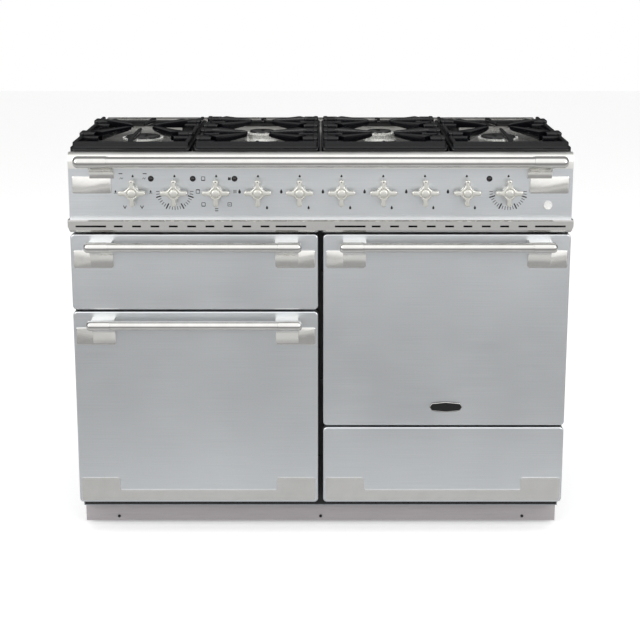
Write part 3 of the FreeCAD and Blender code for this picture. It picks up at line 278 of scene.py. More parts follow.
NODE_FINISHES: tuple[tuple[Finish, tuple[str, ...]], ...] = (
    (BRUSHED_STEEL, ("grill_door_skin", "left_oven_door_skin", "right_oven_door_skin",
                     "drawer_front", "control_panel")),
    (POLISHED_STEEL, ("left_oven_door_trim", "drawer_trim", "vent_trim",
                      "grill_door_handle", "left_oven_door_handle", "right_oven_door_handle",
                      "handrail")),
    (TRAY_STEEL, ("hob_tray",)),
    (GROUND_STEEL, ("hob_fascia",)),
    (SATIN_PLATING, tuple(f"knob_{i}" for i in range(1, 11))),
    (CAST_IRON, tuple(f"pan_support_{i}" for i in range(1, 5))),
    (BLACK_ENAMEL, ("burner_caps", "right_oven_door_badge")),
    (FRAME_BLACK, ("front_frame", "door_hinges_and_catches", "plinth_screws")),
    (CASE_PAINT, ("side_panels",)),
    (PLINTH_PAINT, ("plinth",)),
    (ZINC_SHEET, ("rear_cover", "base_frame", "drawer_box", "drawer_rails", "left_oven_fan",
                  "right_oven_fan", "fan_motors", "levelling_feet")),
    (OVEN_ENAMEL, ("left_oven_liner", "right_oven_liner", "grill_chamber_liner",
                   "grill_door_inner_panel", "left_oven_door_inner_panel",
                   "right_oven_door_inner_panel", "fan_guards", "grill_pan")),
    (GLASS_WOOL, ("oven_insulation",)),
    (WOVEN_SEAL, ("door_seals",)),
    (CHROMED_WIRE, ("oven_shelves_and_guides",)),
    (BURNER_ALLOY, ("burner_bodies",)),
    (HOT_TUBE, ("heating_elements",)),
    (BRASS, ("taps_and_switches", "gas_rail")),
    (DARK_LENS, ("indicator_lights",)),
    (WHITE_MOULDING, ("push_button",)),
)


# ---- surfaces ----

def mesh_object(name: str, points: Array, faces: Sequence[Sequence[int]], smooth: float = 35.0
                ) -> bpy.types.Object:
    """Put points and faces into a new object that stands at the origin.

    Args:
        name: Name of the piece.
        points: Points as an array of n by 3, in metres.
        faces: Point numbers round each face.
        smooth: Faces that meet at less than this many degrees are shaded as one surface.

    Returns:
        The new object, linked to the scene.
    """
    mesh = bpy.data.meshes.new(name)
    mesh.from_pydata(points.tolist(), [], [list(f) for f in faces])
    mesh.validate()
    mesh.update()
    piece = bpy.data.objects.new(name, mesh)
    bpy.context.scene.collection.objects.link(piece)
    mesh.set_sharp_from_angle(angle=math.radians(smooth))
    return piece


@dataclass
class Shape:
    """Points and faces gathered from several closed surfaces before they become one mesh."""

    points: list[Array] = field(default_factory=list)
    faces: list[list[int]] = field(default_factory=list)
    count: int = 0

    def add(self, points: Array, faces: Sequence[Sequence[int]]) -> None:
        """Append one surface, with its face numbers moved past the points already held."""
        self.faces += [[i + self.count for i in face] for face in faces]
        self.points.append(points)
        self.count += len(points)

    def add_rings(self, rings: Array, loop: bool = False) -> None:
        """Append a tube of rings.

        Args:
            rings: Array of rings by points by 3; each ring is closed.
            loop: Join the last ring to the first, as round a frame; otherwise a flat face
                closes each end.
        """
        count, around = rings.shape[:2]
        spans = count if loop else count - 1
        i, j = np.meshgrid(np.arange(spans), np.arange(around), indexing="ij")
        after, beside = (i + 1) % count, (j + 1) % around
        quads = np.stack([i * around + j, i * around + beside, after * around + beside,
                          after * around + j], axis=-1).reshape(-1, 4)
        faces = quads.tolist()
        if not loop:
            faces.append(list(range(around))[::-1])
            faces.append(list(range((count - 1) * around, count * around)))
        self.add(rings.reshape(-1, 3), faces)

    def turn(self, profile: Sequence[Pair], axis: Axis, at: Sequence[float],
             segments: int) -> None:
        """Append a turned piece: each (place along the axis, radius) pair becomes a circle.

        Args:
            profile: Places along the axis and radii.
            axis: Axis of the piece.
            at: Point that place zero of the axis passes through.
            segments: Points round each circle.
        """
        table = np.array(profile, dtype=float)
        angle = np.linspace(0, 2 * np.pi, segments, endpoint=False)
        along = np.broadcast_to(table[:, :1], (len(table), segments))
        u = table[:, 1:2] * np.cos(angle)
        v = table[:, 1:2] * np.sin(angle)
        columns = {Axis.X: (along, u, v), Axis.Y: (v, along, u), Axis.Z: (u, v, along)}[axis]
        self.add_rings(np.stack(columns, axis=-1) + np.array(at))

    def slab(self, outline: Array, low: float, high: float, edge: float,
             place: Callable[[Array, Array], Array], steps: int = 3) -> None:
        """Append a plate with rounded rims, from an outline and its two faces.

        The rim follows a quarter circle at each face: at an angle a from the face, the outline
        is inset by edge times (1 - sin a) and lies edge times (1 - cos a) inside the face.

        Args:
            outline: Points round the plate.
            low: Height of one face.
            high: Height of the other face.
            edge: Radius of the rims.
            place: Turns outline points and heights into places in space.
            steps: Rings in each quarter circle.
        """
        angle = np.linspace(0, np.pi / 2, steps + 1)
        rim = list(zip(edge * (1 - np.sin(angle)), edge * (1 - np.cos(angle))))
        levels = [(inset, low + rise) for inset, rise in rim]
        levels += [(inset, high - rise) for inset, rise in rim[::-1]]
        self.add_rings(np.stack([place(offset_outline(outline, inset), np.full(len(outline), level))
                                 for inset, level in levels]))

    def make(self, name: str, smooth: float = 35.0) -> bpy.types.Object:
        """Build the object from points in millimetres, with every face turned outwards."""
        piece = mesh_object(name, np.concatenate(self.points) * MM, self.faces, smooth)
        work = bmesh.new()
        work.from_mesh(piece.data)
        bmesh.ops.recalc_face_normals(work, faces=work.faces)
        work.to_mesh(piece.data)
        work.free()
        piece.data.set_sharp_from_angle(angle=math.radians(smooth))
        return piece


def rounded_outline(half_u: float, half_v: float, corner: float, steps: int = 6) -> Array:
    """Points round a rectangle whose corners are quarter circles, anticlockwise."""
    angle = np.linspace(0, np.pi / 2, steps + 1)
    points = []
    for quarter, (su, sv) in enumerate(((1, 1), (-1, 1), (-1, -1), (1, -1))):
        turn = angle + quarter * np.pi / 2
        points.append(np.stack([su * (half_u - corner) + corner * np.cos(turn),
                                sv * (half_v - corner) + corner * np.sin(turn)], axis=-1))
    return np.concatenate(points)


def offset_outline(outline: Array, inset: float) -> Array:
    """Outline moved inwards by the same distance on every side.

    Each point moves along the mean of its two edges' inward normals, far enough that both edges
    shift by the inset.
    """
    before = np.roll(outline, 1, axis=0)
    after = np.roll(outline, -1, axis=0)
    edge_in = outline - before
    edge_out = after - outline
    edge_in = edge_in / np.linalg.norm(edge_in, axis=1, keepdims=True)
    edge_out = edge_out / np.linalg.norm(edge_out, axis=1, keepdims=True)
    normal_in = np.stack([-edge_in[:, 1], edge_in[:, 0]], axis=-1)
    normal_out = np.stack([-edge_out[:, 1], edge_out[:, 0]], axis=-1)
    mean = normal_in + normal_out
    share = 2.0 / np.maximum((mean * mean).sum(axis=1, keepdims=True), 0.5)
    return outline + mean * share * inset


def fillet_corners(corners: Sequence[Pair], radii: Sequence[float], steps: int = 5
                   ) -> Array:
    """Polygon with a circular arc in place of each corner.

    Args:
        corners: Corner points, anticlockwise.
        radii: Radius at each corner; zero keeps it sharp.
        steps: Straight pieces in each arc.

    Returns:
        Points round the rounded polygon.
    """
    at = np.array(corners, dtype=float)
    count = len(at)
    rounded = []
    for i in range(count):
        here, back, ahead = at[i], at[i - 1], at[(i + 1) % count]
        to_back = (back - here) / np.linalg.norm(back - here)
        to_ahead = (ahead - here) / np.linalg.norm(ahead - here)
        half = math.acos(float(np.clip(np.dot(to_back, to_ahead), -1, 1))) / 2
        if radii[i] <= 0 or half > math.pi / 2 - 0.02:
            rounded.append(here[None])
            continue
        reach = radii[i] / math.tan(half)
        middle = to_back + to_ahead
        centre = here + middle / np.linalg.norm(middle) * radii[i] / math.sin(half)
        start, end = here + to_back * reach - centre, here + to_ahead * reach - centre
        a0, a1 = math.atan2(start[1], start[0]), math.atan2(end[1], end[0])
        sweep = (a1 - a0 + math.pi) % (2 * math.pi) - math.pi
        angle = a0 + sweep * np.linspace(0, 1, steps + 1)
        rounded.append(centre + radii[i] * np.stack([np.cos(angle), np.sin(angle)], axis=-1))
    return np.concatenate(rounded)


def facing_front(points: Array, depth: Array) -> Array:
    """Outline in X and Z, with depth along Y."""
    return np.stack([points[:, 0], depth, points[:, 1]], axis=-1)


def facing_side(points: Array, across: Array) -> Array:
    """Outline in Y and Z, carried along X."""
    return np.stack([across, points[:, 0], points[:, 1]], axis=-1)


def facing_up(points: Array, height: Array) -> Array:
    """Outline in X and Y, with height along Z."""
    return np.stack([points[:, 0], points[:, 1], height], axis=-1)


def coat(piece: bpy.types.Object, finish: Finish) -> None:
    """Give a piece one finish in place of what it has."""
    piece.data.materials.clear()
    piece.data.materials.append(finish.build())


def dress(piece: bpy.types.Object, finish: Finish, body: str) -> None:
    """Give a piece its finish and its body."""
    coat(piece, finish)
    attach(piece, body)
    log.info("made %s on %s", piece.name, body)


def replace_node(node: str, piece: bpy.types.Object, finish: Finish, body: str) -> None:
    """Put a dressed piece in the place of a packed one."""
    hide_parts(node)
    dress(piece, finish, body)


def dress_packed(nodes: dict[str, bpy.types.Object]) -> None:
    """Give each packed sheet, liner and working part the finish of its real material."""
    for finish, names in NODE_FINISHES:
        for name in names:
            coat(nodes[name], finish)
    log.info("dressed %d packed nodes", len(nodes))


# ---- bars and brackets ----

def packed_box(node: str) -> tuple[Array, Array]:
    """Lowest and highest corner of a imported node, in millimetres."""
    low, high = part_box(node)
    return np.array(low) / MM, np.array(high) / MM


def rounded_start(place: float, radius: float, size: float, steps: int = 4) -> list[Pair]:
    """Profile points of the rounded rim that a turned piece starts with.

    Args:
        place: Where the piece starts along its axis.
        radius: Radius just inside the rim.
        size: Radius of the rounding.
        steps: Straight pieces in the rounding.
    """
    angle = np.linspace(0, np.pi / 2, steps + 1)[::-1]
    along = place + size * (1 - np.sin(angle))
    out = radius - size * (1 - np.cos(angle))
    return list(zip(along.tolist(), out.tolist()))


@dataclass
class Bar:
    """Tube along X with a collar, a groove and a sleeve at each end, in millimetres."""

    half_length: float
    radius: float
    sleeve_radius: float
    sleeve_length: float
    tip: float
    tip_end_radius: float
    collar: float = 2.4

    def tip_profile(self, joint: float) -> list[Pair]:
        """Profile of the right sleeve from its joint with the tube to its domed tip."""
        sleeve, end = self.sleeve_radius, self.tip_end_radius
        points = [(joint - self.collar, sleeve - 0.5), (joint - 0.3, sleeve - 0.5),
                  (joint, self.radius - 0.6), (joint + 0.7, self.radius - 0.6)]
        points += rounded_start(joint + 0.7, sleeve, 0.6)
        angle = np.linspace(0, 1, 10) * np.pi / 2
        along = self.half_length - self.tip * (1 - np.sin(angle))
        out = end + (sleeve - end) * np.cos(angle) ** 0.8
        points += list(zip(along.tolist(), out.tolist()))
        return points + [(self.half_length + 0.4, end * 0.5)]

    def shape(self, centre: Place) -> Shape:
        """Build the bar about a centre."""
        joint = self.half_length - self.sleeve_length
        right = self.tip_profile(joint)
        left = [(-x, r) for x, r in right[::-1]]
        inner = joint - self.collar
        made = Shape()
        made.turn(left + [(-inner, self.radius), (inner, self.radius)] + right, Axis.X,
                  centre, 48)
        return made


def concave(start: Pair, pull: Pair, end: Pair,
            steps: int = 12) -> list[Pair]:
    """Points along a quadratic curve that leaves towards a pull point and ends at another."""
    t = np.linspace(0, 1, steps + 1)[:, None]
    curve = ((1 - t) ** 2 * np.array(start) + 2 * t * (1 - t) * np.array(pull)
             + t ** 2 * np.array(end))
    return [tuple(p) for p in curve.tolist()]


@dataclass
class Brackets:
    """Pair of brackets: a plate on the face behind and an arm out to the bar, in millimetres."""

    plate_width: float
    plate_height: float
    plate_end: float
    arm_width: float
    arm_end: float
    plate_thick: float = 2.5
    corner: float = 4.0
    plate_rim: float = 0.7
    arm_rim: float = 0.6

    def shape(self, middle: float, face: float, plate_z: float, arm: Array) -> Shape:
        """Build both brackets.

        Args:
            middle: X halfway between them.
            face: Y of the face that they stand on.
            plate_z: Height of the middle of the plates.
            arm: Outline of the arm in Y and Z.
        """
        made = Shape()
        for side in (-1, 1):
            outline = rounded_outline(self.plate_width / 2, self.plate_height / 2, self.corner)
            outline = outline + (middle + side * (self.plate_end - self.plate_width / 2), plate_z)
            made.slab(outline, face - self.plate_thick, face, self.plate_rim, facing_front)
            low, high = sorted((middle + side * (self.arm_end - self.arm_width),
                                middle + side * self.arm_end))
            made.slab(arm, low, high, self.arm_rim, facing_side)
        return made


@dataclass
class DoorHandle:
    """Bar on two polished brackets, each with a scooped arm."""

    body: str
    bar: Bar = field(default_factory=lambda: Bar(234.0, 10.0, 11.2, 52.0, 9.0, 2.2))
    brackets: Brackets = field(default_factory=lambda: Brackets(86.0, 39.0, 263.0, 50.0, 226.0))
    standoff: float = 38.0
    arm_drop: float = 1.7

    def build(self) -> None:
        """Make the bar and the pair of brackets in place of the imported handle."""
        node = self.body + "_handle"
        low, high = packed_box(node)
        middle, door, bar_z = (low[0] + high[0]) / 2, high[1], high[2] - self.bar.sleeve_radius
        bar = self.bar.shape((middle, door - self.standoff, bar_z))
        replace_node(node, bar.make(node + "_bar"), POLISHED_STEEL, self.body)
        plate_z = low[2] + self.brackets.plate_height / 2
        pair = self.brackets.shape(middle, door, plate_z, self.arm(bar_z, low[2]) + (door, 0.0))
        dress(pair.make(node + "_brackets", 50), SATIN_STEEL, self.body)

    def arm(self, bar_z: float, plate_low: float) -> Array:
        """Outline of an arm in Y and Z, with Y counted from the door."""
        r = self.bar.sleeve_radius
        top, foot = bar_z + r - self.arm_drop, plate_low + self.brackets.corner
        scoop = concave((-self.standoff + 5.0, bar_z - r + 1.5), (-7.0, bar_z - r - 2.0),
                        (-self.brackets.plate_thick, foot))
        ring = [(0.0, top), (-self.standoff + 3.0, top), (-self.standoff - 6.0, top - 3.6),
                (-self.standoff - 3.0, bar_z)] + scoop + [(0.0, foot)]
        return fillet_corners(ring, [0, 2.5, 1.5, 0] + [0] * len(scoop) + [0])


@dataclass
class Handrail:
    """Rail along the front of the hob, on two brackets that stand on the control panel."""

    bar: Bar = field(default_factory=lambda: Bar(524.0, 11.25, 12.5, 72.0, 10.0, 3.0))
    brackets: Brackets = field(default_factory=lambda: Brackets(84.5, 37.0, 536.0, 53.0, 498.0))
    plate_top_drop: float = 39.0

    def build(self) -> None:
        """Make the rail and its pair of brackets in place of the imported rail."""
        low, high = packed_box("handrail")
        r, panel_y = self.bar.sleeve_radius, high[1]
        axis_y, axis_z = low[1] + r, high[2] - r
        bar = self.bar.shape((0.0, axis_y, axis_z))
        replace_node("handrail", bar.make("handrail_bar"), POLISHED_STEEL, "root")
        plate_top = axis_z - self.plate_top_drop
        plate_z = (plate_top + (plate_top - self.brackets.plate_height)) / 2
        out, under = axis_y - panel_y, axis_z - r
        ring = [(0.0, under + 10.5), (out + 4.0, under + 17.0), (out - 4.0, under + 5.0),
                (out + 3.0, under - 0.5)]
        ring += concave((out + 8.0, under - 1.5), (-6.0, under - 4.0),
                        (-self.brackets.plate_thick, plate_top - 4.0)) + [(0.0, plate_top - 4.0)]
        pair = self.brackets.shape(0.0, panel_y, plate_z, np.array(ring) + (panel_y, 0.0))
        dress(pair.make("handrail_brackets", 50), SATIN_STEEL, "root")


# ---- knobs ----

@dataclass
class Knob:
    """Cast cross knob with four rounded arms, a grooved hub and a domed middle."""

    number: int
    span: float = 59.0
    arm_half: float = 5.6
    waist_half: float = 5.0
    hub_reach: float = 14.0
    crown: float = 3.0
    crown_back: float = 12.5
    panel: float = 31.0
    dot_place: float = 25.0
    dot_radius: float = 1.1

    def cross(self) -> Array:
        """Outline of the four arms, anticlockwise, about zero.

        Each arm is a waisted bar with a round tip; between two arms the hub shows a straight flank.
        """
        tip, half, waist, hub = self.span / 2, self.arm_half, self.waist_half, self.hub_reach
        turn = np.linspace(0, np.pi / 2, 7)
        upper = list(zip((tip - half + half * np.cos(turn)).tolist(),
                         (half * np.sin(turn)).tolist()))
        flank = hub / math.sqrt(2)
        upper += [(tip - 8.0, half - 0.3), (tip - 11.0, waist), (hub + 1.6, waist + 0.4),
                  (hub - 0.8, waist + 1.8), (flank + 1.6, flank - 1.6)]
        arm = np.array([(x, -z) for x, z in upper[:0:-1]] + upper)
        turns = [np.array([(c, -s), (s, c)]) for c, s in ((1, 0), (0, 1), (-1, 0), (0, -1))]
        return np.concatenate([arm @ turn_by.T for turn_by in turns])

    def build(self) -> None:
        """Make the knob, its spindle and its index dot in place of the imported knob."""
        node = f"knob_{self.number}"
        low, high = packed_box(node)
        at = ((low[0] + high[0]) / 2, low[1], (low[2] + high[2]) / 2)
        crown, back, panel = self.crown, self.crown_back, self.panel
        shape = Shape()
        shape.slab(self.cross() + (at[0], at[2]), at[1] + crown, at[1] + back, 2.3,
                   facing_front, 5)
        hub = [(back - 4.5, 11.6), (back - 0.5, 11.4), (back + 3.0, 10.4), (panel - 8.0, 10.8),
               (panel - 3.2, 12.4), (panel - 0.6, 12.4), (panel, 12.0)]
        shape.turn(hub, Axis.Y, at, 40)
        angle = np.linspace(0, np.pi / 2, 6)[2:]
        dome = [(0.05, 1.0)] + list(zip((1.2 - 1.2 * np.cos(angle)).tolist(),
                                        (8.6 * np.sin(angle) ** 0.7).tolist()))
        dome += [(crown - 0.2, 8.9), (crown - 0.1, 9.9), (crown - 1.1, 10.5), (crown - 1.3, 11.3),
                 (crown - 0.7, 11.9), (crown + 1.0, 12.2), (crown + 5.0, 12.2)]
        shape.turn(dome, Axis.Y, at, 40)
        shape.turn([(panel - 6.0, 4.0), (high[1] - low[1], 4.0)], Axis.Y, at, 20)
        replace_node(node, shape.make(node + "_cross_grip", 42), SATIN_PLATING, node)
        dot = Shape()
        at_dot = (at[0], at[1] + crown - 0.12, at[2] + self.dot_place)
        dot.turn([(0.0, self.dot_radius), (0.4, self.dot_radius)], Axis.Y, at_dot, 16)
        dress(dot.make(node + "_index_dot"), PRINT_INK, node)


# ---- hob ----

@dataclass
class RolledEdge:
    """Front strip of the hob: an upright sheet that rolls back into the top with a wide bend."""

    bend: Pair = (15.0, 20.0)
    sheet: float = 2.0

    def build(self) -> None:
        """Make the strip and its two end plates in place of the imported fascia."""
        low, high = packed_box("hob_fascia")
        turn = np.linspace(0, np.pi / 2, 13)
        across, rise = self.bend
        centre = np.array([low[1] + across, high[2] - rise])

        def arc(inset: float) -> Array:
            return centre + np.stack([(inset - across) * np.cos(turn),
                                      (rise - inset) * np.sin(turn)], axis=-1)

        outer = np.concatenate([[(low[1], low[2])], arc(0.0), [(high[1], high[2])]])
        inner = np.concatenate([[(low[1] + self.sheet, low[2])], arc(self.sheet),
                                [(high[1], high[2] - self.sheet)]])
        filled = np.concatenate([inner, [(high[1], low[2])]])
        shape = Shape()
        spans = ((np.concatenate([outer, inner[::-1]]), low[0], high[0]),
                 (filled, low[0], low[0] + self.sheet), (filled, high[0] - self.sheet, high[0]))
        for profile, start, end in spans:
            shape.add_rings(np.stack([np.insert(profile, 0, x, axis=1) for x in (start, end)]))
        replace_node("hob_fascia", shape.make("hob_fascia_rolled_edge", 30), GROUND_STEEL, "root")


@dataclass(frozen=True)
class Burner:
    """Place and head radius of one burner, in millimetres; depth counts from the door faces."""

    x: float
    depth: float
    radius: float


BURNERS = (Burner(-412.0, 256.0, 46.0), Burner(-139.5, 345.0, 35.0), Burner(-139.5, 140.0, 26.0),
           Burner(139.5, 345.0, 35.0), Burner(139.5, 140.0, 26.0), Burner(412.0, 256.0, 46.0))


def tapered_bar(shape: Shape, start: Sequence[float], end: Sequence[float], widths: Pair,
                heights: Pair, hollow: float, corner: float, rings: int = 10) -> None:
    """Append a rounded bar whose section changes along its way.

    Args:
        shape: Shape to append to.
        start: X, Y and top Z of the root.
        end: X, Y and top Z of the tip.
        widths: Full width at the root and the tip.
        heights: Full height at the root and the tip.
        hollow: How strongly the width and height fall off early, from 0 for a straight taper.
        corner: Radius of the section's corners.
        rings: Sections along the bar.
    """
    a, b = np.array(start, dtype=float), np.array(end, dtype=float)
    way = (b - a)[:2] / np.linalg.norm((b - a)[:2])
    side = np.array([-way[1], way[0], 0.0])
    built = []
    for t in np.linspace(0, 1, rings):
        share = t ** (1.0 / (1.0 + hollow))
        half = (widths[0] + (widths[1] - widths[0]) * share) / 2
        rise = (heights[0] + (heights[1] - heights[0]) * share) / 2
        round_off = min(corner, half * 0.9, rise * 0.9)
        closing = 0.0 if t < 1 else min(half, rise) * 0.35
        section = rounded_outline(half - closing, rise - closing,
                                  max(0.2, round_off - closing * 0.5), 3)
        middle = a + (b - a) * t
        middle[2] -= rise
        built.append(middle + section[:, :1] * side + section[:, 1:] * np.array([0.0, 0.0, 1.0]))
    shape.add_rings(np.stack(built))


@dataclass
class PanSupport:
    """Cast grate over one or two burners: a stepped frame, root pads and wedge fingers."""

    number: int
    burners: tuple[Burner, ...]
    spread: float
    low: float = 872.3
    ledge: float = 886.0
    rib: float = 897.0
    top: float = 904.0
    tip_across: float = 26.0
    tip_along: float = 16.0
    end_reach: float = 38.0
    low_back: float = 20.0
    pad_reach: float = 46.0
    pad_half: float = 25.0
    rail: float = 18.0
    finger_widths: Pair = (34.0, 8.0)
    finger_heights: Pair = (20.0, 9.0)
    rail_finger_widths: Pair = (12.0, 8.0)

    def frame(self, shape: Shape, low: Array, high: Array) -> None:
        """Append the frame: one moulding with a ledge and a rib, carried round the grate."""
        profile = ((0.8, 0.0), (0.0, 1.0), (0.0, 12.2), (1.4, 13.7), (4.2, 13.7), (5.0, 14.6),
                   (5.2, 23.0), (6.9, 24.7), (12.2, 24.7), (13.9, 23.0), (14.1, 14.6),
                   (15.0, 13.7), (16.6, 13.7), (18.0, 12.2), (18.0, 1.0), (17.2, 0.0))
        half, middle = (high - low)[:2] / 2, (high + low)[:2] / 2
        step = half[1] - self.low_back
        rings = []
        for inset, rise in profile:
            u, v = half - inset
            ring = rounded_outline(u, v, max(1.2, 10.0 - inset), 6)
            left_end = len(ring) // 2
            ring = np.concatenate([[(u, step - 1.0), (u, step)], ring[:left_end],
                                   [(-u, step), (-u, step - 1.0)], ring[left_end:]])
            rises = np.where(ring[:, 1] > step - 0.5, min(rise, self.ledge - self.low), rise)
            rings.append(np.column_stack([ring + middle, low[2] + rises]))
        shape.add_rings(np.stack(rings, axis=1), loop=True)

    def pads(self, shape: Shape, low: Array, high: Array, side: int, depth: float) -> None:
        """Append the two-step pad at the root of a finger."""
        edge, y = low[0] if side < 0 else high[0], FACE_Y + depth
        steps = ((self.pad_reach, self.pad_half, self.ledge - 8.0, self.rib - 1.5),
                 (self.pad_reach - 10.0, self.pad_half - 6.5, self.rib - 4.0, self.top - 1.5))
        for reach, half, foot, top in steps:
            outline = rounded_outline(reach / 2 - 2.0, half, 4.0, 4)
            outline = outline + (edge - side * (reach / 2 + 4.0), y)
            shape.slab(outline, foot, top, 1.4, facing_up)
        hump = rounded_outline(5.4, self.pad_half - 4.0, 5.0, 5) + (edge - side * 9.6, y)
        shape.slab(hump, self.rib - 3.0, self.top - 0.4, 2.4, facing_up)

    def build(self) -> None:
        """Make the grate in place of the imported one."""
        node = f"pan_support_{self.number}"
        low, high = packed_box(node)
        shape = Shape()
        self.frame(shape, low, high)
        for burner in self.burners:
            for side in (-1, 1):
                root_x = (low[0] if side < 0 else high[0]) - side * (self.pad_reach - 6.0)
                for way in (-1, 1):
                    depth = burner.depth + way * self.spread
                    self.pads(shape, low, high, side, depth)
                    root = (root_x, FACE_Y + depth, self.top)
                    tip = (burner.x + side * self.tip_across,
                           FACE_Y + burner.depth + way * self.tip_along, self.top)
                    tapered_bar(shape, root, tip, self.finger_widths, self.finger_heights, 0.2, 1.4)
        depths = sorted(FACE_Y + b.depth for b in self.burners)
        x = self.burners[0].x
        level = self.top if len(depths) == 1 else self.rib - 6.0
        for rail_y, root_top, tip_y, tip_top in (
                (low[1] + self.rail / 2, level, depths[0] - self.end_reach, level),
                (high[1] - self.rail / 2, self.rib - 4.0, depths[-1] + self.end_reach, self.top)):
            tapered_bar(shape, (x, rail_y, root_top), (x, tip_y, tip_top),
                        self.rail_finger_widths, (root_top - self.top + 24.0, 9.0), 0.6, 3.2)
        replace_node(node, shape.make(node + "_casting", 40), CAST_IRON, node)


@dataclass
class BurnerSet:
    """Six burners: a bright flame ring with ports, a dark cap and an igniter."""

    flange: float = 856.0
    head: float = 860.0
    ring_top: float = 876.0
    cap_top: float = 881.0
    tooth: Pair = (2.4, 1.7)
    tooth_pitch: float = 6.2
    igniter_gap: float = 9.0

    def build(self) -> None:
        """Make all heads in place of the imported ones, then all caps."""
        heads, caps = Shape(), Shape()
        for burner in BURNERS:
            self.add_head(heads, burner)
            self.add_cap(caps, burner)
        replace_node("burner_bodies", heads.make("burner_flame_rings", 30), BURNER_ALLOY, "root")
        replace_node("burner_caps", caps.make("burner_enamel_caps", 40), BLACK_ENAMEL, "root")

    def add_head(self, shape: Shape, burner: Burner) -> None:
        """Append the cup, flange, port ring and igniter of one burner."""
        r, flange, head, top = burner.radius, self.flange, self.head, self.ring_top
        at = (burner.x, FACE_Y + burner.depth, 0.0)
        cup = r * 0.8 - 0.5
        profile = [(flange - 20.0, cup), (flange - 0.1, cup), (flange, r + 4.5),
                   (flange + 0.6, r + 5.8), (flange + 2.6, r + 6.0), (head - 0.2, r + 4.6),
                   (head + 1.2, r + 0.6), (head + 2.4, r - 1.6), (top - 5.2, r - 2.0),
                   (top - 4.6, r + 0.8), (top - 3.4, r + 1.0), (top - 3.2, r - 3.0), (top, r - 3.0)]
        shape.turn(profile, Axis.Z, at, 72)
        count = int(round(2 * math.pi * r / self.tooth_pitch))
        tooth = rounded_outline(*self.tooth, 0.5, 2)
        for i in range(count):
            turn = 2 * math.pi * i / count
            c, s = math.cos(turn), math.sin(turn)
            out = tooth[:, 0] + r - 1.6
            spun = np.stack([c * out - s * tooth[:, 1], s * out + c * tooth[:, 1]], axis=-1)
            shape.slab(spun + at[:2], top - 4.0, top, 0.4, facing_up, 2)
        reach = r + self.igniter_gap
        spark = (at[0] + reach * math.cos(2.4), at[1] + reach * math.sin(-0.8), 0.0)
        igniter = [(flange - 1.0, 3.4), (flange + 5.0, 3.2), (flange + 5.6, 2.2),
                   (flange + 12.0, 2.0), (flange + 12.4, 1.0), (flange + 14.0, 0.8)]
        shape.turn(igniter, Axis.Z, spark, 16)

    def add_cap(self, shape: Shape, burner: Burner) -> None:
        """Append the enamelled cap of one burner."""
        r, low, top = burner.radius - 6.0, self.ring_top, self.cap_top
        profile = [(low, r - 2.6), (low + 0.4, r - 0.6), (low + 1.4, r), (low + 2.6, r - 0.3),
                   (low + 3.5, r - 1.6), (top - 1.0, r - 4.0), (top - 0.4, r * 0.62),
                   (top, r * 0.3), (top, 1.0)]
        shape.turn(profile, Axis.Z, (burner.x, FACE_Y + burner.depth, 0.0), 64)


# ---- control panel ----

